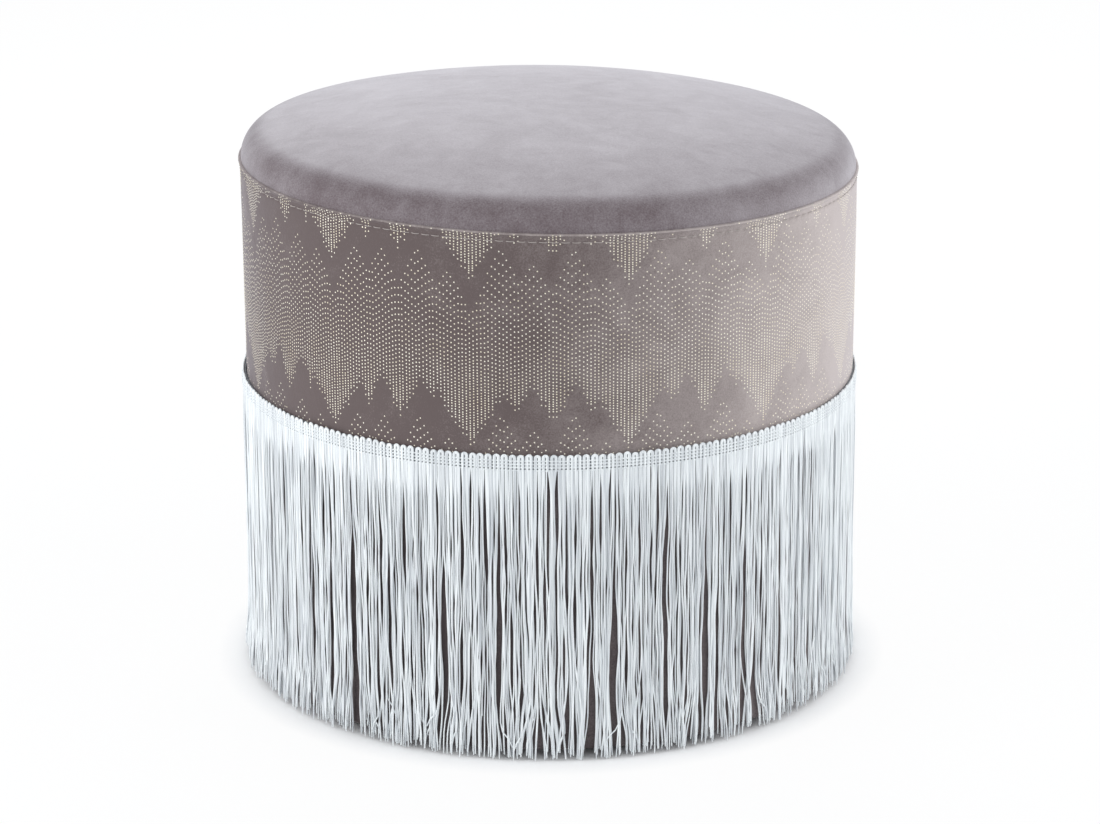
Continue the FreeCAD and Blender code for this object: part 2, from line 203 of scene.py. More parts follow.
class Recipe:
    """The node tree of one finish, and the one way that nodes get into it."""

    def __init__(self, tree: bpy.types.NodeTree) -> None:
        """Empties the tree and takes it over."""
        tree.nodes.clear()
        self.tree = tree

    def node(self, kind: str, settings: dict[str, Any] | None = None,
             sockets: dict[Any, Any] | None = None) -> bpy.types.Node:
        """Adds one node.

        Args:
            kind: The node's type.
            settings: Its own settings, set first.
            sockets: Values, sockets or Nums by the name or number of the socket that they go into.

        Returns:
            The node.
        """
        made = self.tree.nodes.new(kind)
        for key, value in (settings or {}).items():
            setattr(made, key, value)
        for key, value in (sockets or {}).items():
            if isinstance(value, Num):
                value = value.socket
            if isinstance(value, bpy.types.NodeSocket):
                self.tree.links.new(value, made.inputs[key])
            else:
                made.inputs[key].default_value = value
        return made

    def place(self, stretch: tuple[float, float, float] = (1.0, 1.0, 1.0)) -> bpy.types.NodeSocket:
        """The point on the piece, in the tuffet's own frame.

        Args:
            stretch: Factors for x, y and z, with which a pattern gets finer in that direction.

        Returns:
            The vector.
        """
        point = self.node("ShaderNodeTexCoord").outputs["Object"]
        if stretch == (1.0, 1.0, 1.0):
            return point
        made = self.node("ShaderNodeVectorMath", {"operation": "MULTIPLY"}, {0: point, 1: stretch})
        return made.outputs[0]

    def along(self, axis: str) -> Num:
        """One of the point's coordinates, by its letter, in metres."""
        made = self.node("ShaderNodeSeparateXYZ", sockets={0: self.place()})
        return Num(self, made.outputs[axis])

    def noise(self, grain: float, detail: float = 2.0, rough: float = 0.5, warp: float = 0.0,
              stretch: tuple[float, float, float] = (1.0, 1.0, 1.0)) -> Num:
        """Soft random variation.

        Args:
            grain: Size of its patches in metres.
            detail: How many finer levels it holds.
            rough: How strong the finer levels are.
            warp: How much it is swirled.
            stretch: Factors for x, y and z, with which it gets finer in that direction.

        Returns:
            The variation, about 0.5 on average.
        """
        sockets = {"Vector": self.place(stretch), "Scale": 1 / grain, "Detail": detail,
                   "Roughness": rough, "Distortion": warp}
        return Num(self, self.node("ShaderNodeTexNoise", sockets=sockets).outputs[0])

    def blend(self, share: Any, first: Any, second: Any) -> bpy.types.NodeSocket:
        """Mixes two colours.

        Args:
            share: How much of the second there is, 0 to 1.
            first: Colour or socket.
            second: Colour or socket.

        Returns:
            The mixed colour.
        """
        made = self.node("ShaderNodeMix", {"data_type": "RGBA"}, {0: share, 6: first, 7: second})
        return made.outputs[2]

    def relief(self, height: Any, depth: float, strength: float = 1.0,
               under: bpy.types.NodeSocket | None = None) -> bpy.types.NodeSocket:
        """Raises the surface by a height pattern.

        Args:
            height: The pattern, 0 to 1.
            depth: How high 1 stands, in metres.
            strength: How much of it shows.
            under: The normal of a coarser relief below it.

        Returns:
            The normal.
        """
        sockets = {"Height": height, "Distance": depth, "Strength": strength}
        if under is not None:
            sockets["Normal"] = under
        return self.node("ShaderNodeBump", sockets=sockets).outputs[0]

    def surface(self, sockets: dict[str, Any]) -> None:
        """Ends the recipe in one Principled surface with these socket values or links."""
        shader = self.node("ShaderNodeBsdfPrincipled", sockets=sockets)
        self.node("ShaderNodeOutputMaterial", sockets={"Surface": shader.outputs[0]})


@dataclass(frozen=True)
class Finish:
    """What every finish has: a name, and a recipe of its own."""

    name: str

    def make(self) -> bpy.types.Material:
        """Makes the material.

        Returns:
            The material.
        """
        material = bpy.data.materials.new(self.name)
        material.use_nodes = True
        self.mix(Recipe(material.node_tree))
        return material

    def mix(self, recipe: Recipe) -> None:
        """Fills the recipe. Each finish has its own."""
        raise NotImplementedError


@dataclass(frozen=True)
class Velvet(Finish):
    """Short-pile velvet: dark face-on, paler by painted sheen at its sides, on level faces and towards one
    side, and clouded by hands.
    """

    deep: Colour
    pale: Colour
    glow: Colour
    glow_weight: float = 0.7
    glow_spread: float = 0.4
    clouding: float = 0.5
    cloud_size: float = 55 * MM
    mark_size: float = 14 * MM
    pile_size: float = 1.0 * MM
    cloud_share: float = 1.3
    mark_share: float = 0.9
    pile_share: float = 1.8
    # The next fields set painted sheen: how much pale tone goes on at the sides, on level faces, on faces
    # turned to the right and from one side to the other.
    sides: float = 0.9
    side_sheen_power: float = 4.5
    level_sheen: float = 0.0
    level_from: float = 0.6
    level_to: float = 0.99
    level_power: float = 4.0
    right_sheen: float = 0.0
    right_sheen_even: float = 0.32
    right_sheen_extra: float = 0.43
    sheen_across: float = 0.0
    ground: float = 0.08

    def painted_fold_highlight(self, recipe: Recipe) -> Any:
        """Share of the pale tone painted as a highlight along a fold; plain velvet has none."""
        return 0.0

    def mix(self, recipe: Recipe) -> None:
        """Painted sheen makes the pile paler at the sides, on level faces, on faces turned to the right and
        from one side to the other, with clouds and grain.

        Args:
            recipe: The recipe to fill.
        """
        clouds = recipe.noise(self.cloud_size, detail=3.0, rough=0.55, warp=0.9)
        marks = recipe.noise(self.mark_size, detail=3.0, rough=0.6, warp=0.5)
        pile = recipe.noise(self.pile_size, detail=2.0, rough=0.7)
        cloud = ((clouds - 0.5) * self.cloud_share + (marks - 0.5) * self.mark_share
                 + (pile - 0.5) * self.pile_share)
        # The pale share holds painted sheen, the fold's painted highlight and the pile's clouds and grain.
        share = (self._painted_sheen(recipe) + cloud * self.clouding + self.ground + self.painted_fold_highlight(recipe)).held()
        laid = recipe.relief(clouds * 0.6 + marks * 0.4, 2.0 * MM, 0.5)
        normal = recipe.relief(pile, 0.25 * MM, 0.5, laid)
        recipe.surface({
            "Base Color": recipe.blend(share, self.deep, self.pale),
            "Roughness": 0.95 - 0.12 * share, "Normal": normal, "Specular IOR Level": 0.2,
            "Sheen Weight": self.glow_weight, "Sheen Roughness": self.glow_spread, "Sheen Tint": self.glow,
        })

    def _painted_sheen(self, recipe: Recipe) -> Num:
        """Painted sheen: the pale tone at both sides, on level faces, on faces turned to the right and from
        one side of the piece to the other.

        Args:
            recipe: The recipe that it is worked out in.

        Returns:
            A share of the pale tone, as painted sheen.
        """
        geometry = recipe.node("ShaderNodeNewGeometry")
        faces = recipe.node("ShaderNodeSeparateXYZ", sockets={0: geometry.outputs["Normal"]})
        up = (Num(recipe, faces.outputs["Z"]) - self.level_from) / (self.level_to - self.level_from)
        # Painted sheen on level faces.
        level = up.held() ** self.level_power * self.level_sheen
        right = Num(recipe, faces.outputs["X"])
        # Painted sheen at the left and right sides.
        beside = (right * right) ** (self.side_sheen_power / 2) * self.sides
        # Painted sheen on faces turned to the right, then from one side of the piece to the other.
        right_sheen_share = right * (self.right_sheen_even * self.right_sheen) + right.held() * (self.right_sheen_extra * self.right_sheen)
        return beside + level + right_sheen_share + recipe.along("X") * self.sheen_across


@dataclass(frozen=True)
class BandVelvet(Velvet):
    """The printed band's velvet, with a painted highlight along the folded edge under the seam."""

    seam: float = 0.0
    seam_tilt: float = 0.0
    fold_at: float = 0.8 * MM
    fold_wide: float = 0.65 * MM
    # How strong the painted highlight along the fold is.
    fold_highlight: float = 0.62

    def painted_fold_highlight(self, recipe: Recipe) -> Num:
        """A thin painted highlight along the fold, with small breaks.

        Args:
            recipe: The recipe that it is worked out in.

        Returns:
            A share of the pale tone.
        """
        depth = (recipe.along("X") * -self.seam_tilt + self.seam) - recipe.along("Z")
        away = (depth - self.fold_at) / self.fold_wide
        breaks = recipe.noise(5 * MM, detail=2.0)
        return (1.0 - away * away).held() * (breaks * 1.2 + 0.1).held() * self.fold_highlight


@dataclass(frozen=True)
class Foil(Finish):
    """Pale gold foil that is pressed into the pile, worn thin here and there."""

    bright: Colour = tone(250, 246, 231)
    dull: Colour = tone(226, 214, 186)

    def mix(self, recipe: Recipe) -> None:
        """Wear dulls the foil in patches and from dot to dot.

        Args:
            recipe: The recipe to fill.
        """
        wear = (recipe.noise(18 * MM, detail=2.0) * 0.5 + recipe.noise(1.6 * MM) * 0.5)
        share = ((wear - 0.38) * 3.2).held()
        recipe.surface({
            "Base Color": recipe.blend(share, self.bright, self.dull),
            "Metallic": 0.35, "Roughness": 0.32 + 0.25 * share,
        })


@dataclass(frozen=True)
class Yarn(Finish):
    """Cool white twisted yarn with a soft lustre."""

    shade: Colour = tone(197, 202, 207)
    light: Colour = tone(248, 252, 253)
    yarn: float = 1.3 * MM
    twist: float = 0.9 * MM
    glow_weight: float = 0.2

    def mix(self, recipe: Recipe) -> None:
        """The twist runs up the yarn in slanting ridges with painted shade in their grooves, and the tone
        changes from yarn to yarn.

        Args:
            recipe: The recipe to fill.
        """
        drift = recipe.noise(self.yarn, detail=1.0, stretch=(1.0, 1.0, 0.02))
        slow = recipe.noise(30 * MM, detail=2.0, stretch=(1.0, 1.0, 0.4))
        slant = recipe.along("X") + recipe.along("Y") + recipe.along("Z") * 0.8
        ridges = (slant * (TURN / self.twist)).wave() * 0.5 + 0.5
        # The twist's grooves are painted a little darker than its crests: painted shade in the grooves.
        share = ((drift - 0.42) * 2.2 + (slow - 0.5) * 0.6 + 0.5 + (ridges - 0.5) * 0.15).held()
        recipe.surface({
            "Base Color": recipe.blend(share, self.shade, self.light),
            "Roughness": 0.6, "Normal": recipe.relief(ridges, 0.10 * MM, 0.6),
            "Specular IOR Level": 0.35, "Sheen Weight": self.glow_weight, "Sheen Roughness": 0.4,
        })


@dataclass(frozen=True)
class Wood(Finish):
    """Sawn wood or board: grain along one axis, and plies where it has them."""

    early: Colour
    late: Colour
    stretch: tuple[float, float, float]
    ply: float = 0.0

    def mix(self, recipe: Recipe) -> None:
        """Grain is noise drawn out along the wood, and plies are dark glue lines up the edge.

        Args:
            recipe: The recipe to fill.
        """
        grain = recipe.noise(6 * MM, detail=4.0, rough=0.6, warp=0.4, stretch=self.stretch)
        share = ((grain - 0.5) * 2.4 + 0.5).held()
        if self.ply:
            layer = (recipe.along("Z") / (2 * self.ply)).part()
            share = (share * 0.6 + (layer > 0.5) * 0.4).held()
        recipe.surface({
            "Base Color": recipe.blend(share, self.early, self.late),
            "Roughness": 0.6 + 0.2 * grain, "Normal": recipe.relief(grain, 0.3 * MM, 0.5),
        })


@dataclass(frozen=True)
class Plain(Finish):
    """A moulded, foamed or drawn stuff: one colour with a speckle, and a grain of its own."""

    colour: Colour
    speckle: Colour
    grain: float
    depth: float
    roughness: float = 0.6
    metal: float = 0.0

    def mix(self, recipe: Recipe) -> None:
        """The grain carries the speckle and the relief.

        Args:
            recipe: The recipe to fill.
        """
        grain = recipe.noise(self.grain, detail=3.0, rough=0.6)
        share = ((grain - 0.5) * 2.0 + 0.5).held()
        recipe.surface({
            "Base Color": recipe.blend(share, self.colour, self.speckle),
            "Metallic": self.metal, "Roughness": self.roughness - 0.1 + 0.2 * grain,
            "Normal": recipe.relief(grain, self.depth, 0.6),
        })


def bright_wire(name: str) -> bpy.types.Material:
    """The material of staples, under a name of its own."""
    return Plain(name, tone(150, 150, 152), tone(176, 176, 178), 0.8 * MM, 0.03 * MM, 0.35, 1.0).make()


@dataclass(frozen=True)
class Floor(Finish):
    """Pale studio floor: open floor looks white to the camera, and near the tuffet it keeps its shadow."""

    colour: Colour = tone(246, 247, 248)
    white: float = 0.9
    shadow_from: float = 198 * MM
    shadow_to: float = 226 * MM

    def mix(self, recipe: Recipe) -> None:
        """Plain white takes over the floor away from the tuffet, for the camera and in reflections.

        Args:
            recipe: The recipe to fill.
        """
        path = recipe.node("ShaderNodeLightPath")
        seen = (Num(recipe, path.outputs["Is Camera Ray"]) + Num(recipe, path.outputs["Is Glossy Ray"])
                + Num(recipe, path.outputs["Is Transmission Ray"]))
        away = recipe.node("ShaderNodeVectorMath", {"operation": "LENGTH"}, {0: recipe.place()})
        fade = self.shadow_to - self.shadow_from
        open_floor = (Num(recipe, away.outputs["Value"]) - self.shadow_from) / fade
        share = seen.held() * open_floor.held() * self.white
        matt = recipe.node("ShaderNodeBsdfDiffuse", sockets={"Color": self.colour})
        white = recipe.node("ShaderNodeEmission", sockets={"Strength": 1.0})
        both = recipe.node("ShaderNodeMixShader", sockets={0: share, 1: matt.outputs[0], 2: white.outputs[0]})
        recipe.node("ShaderNodeOutputMaterial", sockets={"Surface": both.outputs[0]})


class Shape:
    """The points and faces of one piece, gathered patch by patch."""

    def __init__(self) -> None:
        """Starts empty."""
        self._points: list[np.ndarray] = []
        self._faces: list[list[int]] = []
        self._count = 0

    def add(self, points: np.ndarray, *faces: np.ndarray) -> None:
        """Adds a patch.

        Args:
            points: Its points, x, y and z on the last axis.
            faces: Point numbers within the patch, one row for each face, in an array for each kind of face.
        """
        flat = points.reshape(-1, 3)
        self._points.append(flat)
        for rows in faces:
            self._faces.extend((rows + self._count).tolist())
        self._count += len(flat)

    def add_grid(self, grid: np.ndarray, close_rows: bool = False, close_columns: bool = True) -> None:
        """Adds quads over a grid of points. With rows going up and columns going round, they face out.

        Args:
            grid: Points by row and column.
            close_rows: Whether the last row joins the first.
            close_columns: Whether the last column joins the first.
        """
        rows, columns = grid.shape[:2]
        down = np.arange(rows if close_rows else rows - 1)[:, None]
        across = np.arange(columns if close_columns else columns - 1)[None, :]
        above, beside = (down + 1) % rows, (across + 1) % columns
        corners = (down * columns + across, down * columns + beside,
                   above * columns + beside, above * columns + across)
        self.add(grid, np.stack(corners, axis=-1).reshape(-1, 4))

    def add_caps(self, grid: np.ndarray) -> None:
        """Closes the first and last rows of a grid with one face each.

        Args:
            grid: Points by row and column.
        """
        columns = grid.shape[1]
        self.add(grid[0], np.arange(columns)[::-1][None, :])
        self.add(grid[-1], np.arange(columns)[None, :])

    def add_tubes(self, paths: np.ndarray, out: np.ndarray, wide: Any, thick: Any, sides: int) -> None:
        """Adds closed tubes along paths, all with as many points.

        Args:
            paths: Points by tube and step.
            out: The direction away from the drum at each of them.
            wide: Width of the section, a number or an array by tube and step.
            thick: Thickness away from the drum, a number or an array by tube and step.
            sides: How many sides the section has.
        """
        tubes, steps = paths.shape[:2]
        along = np.gradient(paths, axis=1)
        along /= np.linalg.norm(along, axis=2, keepdims=True)
        beside = np.cross(along, out)
        beside /= np.linalg.norm(beside, axis=2, keepdims=True)
        lifted = np.cross(beside, along)
        wide = np.broadcast_to(wide, (tubes, steps))[:, :, None, None] / 2
        thick = np.broadcast_to(thick, (tubes, steps))[:, :, None, None] / 2
        turn = np.arange(sides) * TURN / sides
        ring = (paths[:, :, None, :] + beside[:, :, None, :] * np.cos(turn)[None, None, :, None] * wide
                + lifted[:, :, None, :] * np.sin(turn)[None, None, :, None] * thick)
        first = (np.arange(tubes) * steps * sides)[:, None, None]
        step = (np.arange(steps - 1) * sides)[None, :, None]
        side = np.arange(sides)[None, None, :]
        near, far = first + step + side, first + step + (side + 1) % sides
        walls = np.stack((near, near + sides, far + sides, far), axis=-1).reshape(-1, 4)
        caps = np.concatenate((side, (steps - 1) * sides + side[..., ::-1]), axis=1)
        self.add(ring, walls, (first + caps).reshape(-1, sides))

    def mesh(self, name: str, crease: float = 40.0) -> bpy.types.Mesh:
        """Makes the mesh.

        Args:
            name: The mesh's name.
            crease: The angle in degrees above which an edge shows as sharp.

        Returns:
            The mesh, smooth between its creases.
        """
        mesh = bpy.data.meshes.new(name)
        mesh.from_pydata(np.concatenate(self._points).tolist(), [], self._faces)
        mesh.update()
        mesh.shade_smooth()
        mesh.set_sharp_from_angle(angle=math.radians(crease))
        return mesh


def weld(mesh: bpy.types.Mesh, gap: float = 0.001 * MM) -> None:
    """Joins points of a mesh that lie on each other.

    Args:
        mesh: The mesh.
        gap: How far apart they may be.
    """
    work = bmesh.new()
    work.from_mesh(mesh)
    bmesh.ops.remove_doubles(work, verts=work.verts, dist=gap)
    bmesh.ops.recalc_face_normals(work, faces=work.faces)
    work.to_mesh(mesh)
    work.free()


def capped(name: str, grid: np.ndarray, crease: float) -> bpy.types.Mesh:
    """Makes a closed mesh from rings of points.

    Args:
        name: The mesh's name.
        grid: Points by ring and column; the first and the last ring are filled.
        crease: The angle in degrees above which an edge shows as sharp.

    Returns:
        The mesh.
    """
    shape = Shape()
    shape.add_grid(grid)
    shape.add_caps(grid)
    mesh = shape.mesh(name, crease)
    weld(mesh)
    return mesh


def make_piece(name: str, mesh: bpy.types.Mesh, material: bpy.types.Material, slot: Slot,
               *nodes: str) -> bpy.types.Object:
    """Puts a mesh into the scene as a piece of the tuffet.

    Args:
        name: The piece's name.
        mesh: Its mesh, already in place.
        material: Its finish.
        slot: The record's slot that the finish stands for; not used.
        nodes: The solids that it stands for.

    Returns:
        The piece, riding on the tuffet's only body.
    """
    piece = bpy.data.objects.new(name, mesh)
    mesh.materials.append(material)
    bpy.context.scene.collection.objects.link(piece)
    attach(piece, "root")
    if nodes:
        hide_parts(*nodes)
    LOG.info("%s: %d faces", name, len(mesh.polygons))
    return piece


@dataclass(frozen=True)
class Drum:
    """The main sizes of the tuffet, read from its frame."""

    radius: float
    seam: float
    band_joint: float
    underside: float
    heading_top: float
    heading_foot: float
    velvet: float = 1.2 * MM
    seam_drop: float = 4.0 * MM

    @classmethod
    def from_frame(cls) -> "Drum":
        """Reads the sizes from the boxes of the solids.

        Returns:
            The sizes.
        """
        band_low, band_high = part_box("printed_band")
        skirt_low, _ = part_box("plain_band")
        tape_low, tape_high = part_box("fringe_tape")
        return cls(band_high.x, band_high.z, band_low.z, skirt_low.z, tape_high.z, tape_low.z)

    @property
    def girth(self) -> float:
        """The way round the drum."""
        return TURN * self.radius

    def seam_at(self, angle: Any) -> Any:
        """Height of the seat seam, which was sewn a little lower at the right than at the left."""
        return self.seam - self.seam_drop * np.cos(angle)


@dataclass
class Studio:
    """The floor, the lamps and the camera that took the photograph."""

    focal_pixels: float = 3396.4
    photo_width: int = 1100
    camera_place: tuple[float, float, float] = (0.36 * MM, -2152.5 * MM, 857.6 * MM)
    camera_pitch: float = 72.12
    camera_roll: float = -0.203
    sensor: float = 36.0
    floor_size: float = 16.0
    sky: float = 0.76
    lamp_aim: float = 0.2

    def build(self) -> None:
        """Sets up camera, floor, sky and lamps."""
        self._place_camera()
        self._lay_floor()
        self._light_sky()
        self._hang_lamp("right_lamp", (2.1, -0.5, 0.9), 1.4, 16.5)
        self._hang_lamp("left_lamp", (-2.1, -0.9, 0.9), 1.4, 23.5)
        self._hang_lamp("back_lamp", (0.0, 1.9, 1.6), 1.6, 14.0)

    def _place_camera(self) -> None:
        """Makes the camera, with the lens that the photograph's outlines fit."""
        data = bpy.data.cameras.new("photo_camera")
        data.sensor_fit = "HORIZONTAL"
        data.sensor_width = self.sensor
        data.lens = self.focal_pixels * self.sensor / self.photo_width
        data.clip_end = 100.0
        camera = bpy.data.objects.new("photo_camera", data)
        camera.location = self.camera_place
        camera.rotation_mode = "QUATERNION"
        pitch = Matrix.Rotation(math.radians(self.camera_pitch), 3, "X")
        roll = Matrix.Rotation(math.radians(self.camera_roll), 3, "Z")
        camera.rotation_quaternion = (pitch @ roll).to_quaternion()
        bpy.context.scene.collection.objects.link(camera)
        bpy.context.scene.camera = camera

    def _lay_floor(self) -> None:
        """Lays the floor, which isn't part of the tuffet."""
        half = self.floor_size / 2
        corners = [(-half, -half, 0.0), (half, -half, 0.0), (half, half, 0.0), (-half, half, 0.0)]
        mesh = bpy.data.meshes.new("floor")
        mesh.from_pydata(corners, [], [(0, 1, 2, 3)])
        mesh.materials.append(Floor("studio_floor").make())
        floor = bpy.data.objects.new("floor", mesh)
        bpy.context.scene.collection.objects.link(floor)

    def _light_sky(self) -> None:
        """Makes the sky: white to the camera, and an even soft light otherwise."""
        world = bpy.data.worlds.new("sky")
        world.use_nodes = True
        recipe = Recipe(world.node_tree)
        path = recipe.node("ShaderNodeLightPath")
        seen = Num(recipe, path.outputs["Is Camera Ray"])
        strength = seen * (1.0 - self.sky) + self.sky
        colour = tone(250, 252, 255)
        sky = recipe.node("ShaderNodeBackground", sockets={"Color": colour, "Strength": strength})
        recipe.node("ShaderNodeOutputWorld", sockets={"Surface": sky.outputs[0]})
        bpy.context.scene.world = world
        bpy.context.scene.view_settings.view_transform = "Standard"

    def _hang_lamp(self, name: str, place: tuple[float, float, float], size: float, power: float) -> None:
        """Hangs one square soft lamp that looks at the middle of the tuffet.

        Args:
            name: The lamp's name.
            place: Where it hangs, in metres.
            size: The side of its square, in metres.
            power: Its power in watts.
        """
        data = bpy.data.lights.new(name, "AREA")
        data.size = size
        data.energy = power
        lamp = bpy.data.objects.new(name, data)
        lamp.location = place
        aim = Vector((0.0, 0.0, self.lamp_aim)) - lamp.location
        lamp.rotation_mode = "QUATERNION"
        lamp.rotation_quaternion = aim.to_track_quat("-Z", "Y")
        bpy.context.scene.collection.objects.link(lamp)


@dataclass
class SeatCover:
    """The crowned velvet top, pulled tight over its foam and sewn to the band."""

    drum: Drum
    crown_rise: float = 39 * MM
    dome_edge: float = 182.0 * MM
    dome_fall: float = 19.5 * MM
    dome_power: float = 2.65
    shoulder_middle: float = 177.5 * MM
    shoulder_rise: float = 20 * MM
    dome_rings: int = 20
    shoulder_rings: int = 12
    swell: float = 1.6 * MM
    give: float = 0.4 * MM
    pressure: float = 0.8
    frames: int = 20

    def build(self) -> bpy.types.Object:
        """Shapes, swells and sews the cover.

        Returns:
            The piece.
        """
        skin, ring, angle = self._skin()
        outwards = self._outwards(ring, angle)
        skin = self._swell(skin, ring, outwards)
        inner = skin - outwards * self.drum.velvet
        side = skin.shape[0]
        number = np.arange(side * side).reshape(side, side)
        corners = (number[:-1, :-1], number[:-1, 1:], number[1:, 1:], number[1:, :-1])
        quads = np.stack(corners, axis=-1).reshape(-1, 4)
        edge = np.flatnonzero(ring.ravel() == ring.max())
        edge = edge[np.argsort(angle.ravel()[edge])]
        shape = Shape()
        shape.add(skin, quads)
        shape.add(inner, quads[:, ::-1])
        shape.add_grid(self._tuck(skin.reshape(-1, 3)[edge], inner.reshape(-1, 3)[edge]))
        mesh = shape.mesh("seat_velvet_cover", crease=180.0)
        weld(mesh)
        piece = make_piece("seat_velvet_cover", mesh, self._finish().make(), Slot.SEAT_VELVET, "seat_cover")
        smooth(piece, 1)
        self._declare()
        return piece

    @staticmethod
    def _finish() -> Velvet:
        """The seat's velvet, a little cooler than the band's.

        Returns:
            The finish.
        """
        # Painted sheen: pale tone at the sides, on the level top, on faces turned to the right and more
        # towards the left.
        return Velvet("seat_velvet", tone(106, 95, 98), tone(192, 187, 191), tone(228, 228, 234),
                      glow_weight=0.55, clouding=0.34, sides=0.30, side_sheen_power=3.0, level_sheen=0.59,
                      right_sheen=0.55, sheen_across=-0.65)

    def rings(self) -> tuple[np.ndarray, np.ndarray]:
        """Radius and height over the seam of each ring, from the middle out to the seam.

        Returns:
            Two arrays of the same length.
        """
        reach = self.drum.radius - 0.6 * MM - self.shoulder_middle
        steepest = math.acos((self.dome_edge - self.shoulder_middle) / reach)
        bend = np.linspace(steepest, 0.0, self.shoulder_rings)
        dome_radius = np.linspace(0.0, self.dome_edge - 8 * MM, self.dome_rings)
        share = dome_radius / (self.dome_edge - 0.5 * MM)
        dome_height = self.crown_rise - self.dome_fall * share ** self.dome_power
        return (np.concatenate((dome_radius, self.shoulder_middle + reach * np.cos(bend))),
                np.concatenate((dome_height, self.shoulder_rise * np.sin(bend))))

    def _skin(self) -> tuple[np.ndarray, np.ndarray, np.ndarray]:
        """The cover's outside before the foam fills it: a square net of quads drawn out into rings.

        Returns:
            Points, ring numbers and angles, all by row and column of the net.
        """
        radius, rise = self.rings()
        steps = np.arange(-len(radius) + 1, len(radius))
        across, along = np.meshgrid(steps, steps)
        ring = np.maximum(np.abs(across), np.abs(along))
        beside = np.abs(across) >= np.abs(along)
        longer = np.where(beside, across, along)
        share = np.where(beside, along, -across) / np.where(longer == 0, 1, longer)
        angle = math.pi / 4 * share + np.where(beside, 0.0, math.pi / 2) + np.where(longer < 0, math.pi, 0.0)
        away = radius[ring]
        fill = rise[ring] / self.crown_rise
        drop = self.drum.seam_drop * away / self.drum.radius * np.cos(angle)
        uneven = 0.35 * MM * (np.sin(2 * angle + 1.0) + np.sin(3 * angle + away / (30 * MM)))
        height = self.drum.seam - drop + rise[ring] + uneven * fill * away / self.drum.radius
        return around(away, angle, height), ring, angle % TURN

    def _swell(self, skin: np.ndarray, ring: np.ndarray, outwards: np.ndarray) -> np.ndarray:
        """Fills the cover by cloth simulation, held at its seam and carried by the foam.

        Args:
            skin: Points by row and column.
            ring: Their ring numbers.
            outwards: The direction out of the cover at each point.

        Returns:
            The same points, moved in or out by no more than the foam allows.
        """
        shape = Shape()
        shape.add_grid(skin, close_columns=False)
        cloth = bpy.data.objects.new("seat_pattern", shape.mesh("seat_pattern"))
        bpy.context.scene.collection.objects.link(cloth)
        seam = cloth.vertex_groups.new(name="seam")
        seam.add(np.flatnonzero(ring.ravel() >= ring.max() - 1).tolist(), 1.0, "ADD")
        pull = cloth.modifiers.new("pull", "CLOTH")
        pull.settings.quality = 6
        pull.settings.mass = 0.3
        pull.settings.tension_stiffness = 20.0
        pull.settings.bending_stiffness = 2.0
        pull.settings.vertex_group_mass = "seam"
        pull.settings.use_pressure = True
        pull.settings.uniform_pressure_force = self.pressure
        pull.settings.effector_weights.gravity = 0.0
        pull.point_cache.frame_start = 1
        pull.point_cache.frame_end = self.frames
        for step in range(1, self.frames + 1):
            bpy.context.scene.frame_set(step)
        swollen = cloth.evaluated_get(bpy.context.evaluated_depsgraph_get()).to_mesh()
        points = np.empty(len(swollen.vertices) * 3)
        swollen.vertices.foreach_get("co", points)
        bpy.data.objects.remove(cloth)
        bpy.context.scene.frame_set(1)
        out = ((points.reshape(skin.shape) - skin) * outwards).sum(axis=2, keepdims=True)
        LOG.info("seat swell: from %.1f to %.1f mm", float(out.min()) / MM, float(out.max()) / MM)
        held = np.where(out > 0, self.swell * np.tanh(out / self.swell), self.give * np.tanh(out / self.give))
        return skin + outwards * held

    def _outwards(self, ring: np.ndarray, angle: np.ndarray) -> np.ndarray:
        """The direction straight out of the cover at each point of the net.

        Args:
            ring: Ring numbers by row and column.
            angle: Their angles.

        Returns:
            Unit vectors by row and column.
        """
        radius, rise = self.rings()
        run, climb = np.gradient(radius), np.gradient(rise)
        size = np.hypot(run, climb)
        return around(-(climb / size)[ring], angle, (run / size)[ring])

    @staticmethod
    def _tuck(edge: np.ndarray, inner_edge: np.ndarray) -> np.ndarray:
        """The cover's cut edge, which turns down into the seam.

        Args:
            edge: The lowest ring of the outside.
            inner_edge: The lowest ring of the inside.

        Returns:
            Rings from the inside to the outside.
        """
        drop = np.array((0.0, 0.0, 1.0 * MM))
        return np.stack((inner_edge, inner_edge - drop, (edge + inner_edge) / 2 - 1.3 * drop,
                         edge * 0.8 + inner_edge * 0.2 - drop * 0.8, edge))

    def _declare(self) -> None:
        """Works out the cover's rings, and does nothing more with them.
        """
        radius, rise = self.rings()


def smooth(piece: bpy.types.Object, levels: int) -> None:
    """Subdivides a piece and keeps the result as its mesh.

    Args:
        piece: The piece.
        levels: How many times each face is cut.
    """
    cut = piece.modifiers.new("smooth", "SUBSURF")
    cut.levels = cut.render_levels = levels
    done = bpy.data.meshes.new_from_object(piece.evaluated_get(bpy.context.evaluated_depsgraph_get()))
    piece.modifiers.clear()
    old = piece.data
    done.name = old.name
    piece.data = done
    bpy.data.meshes.remove(old)


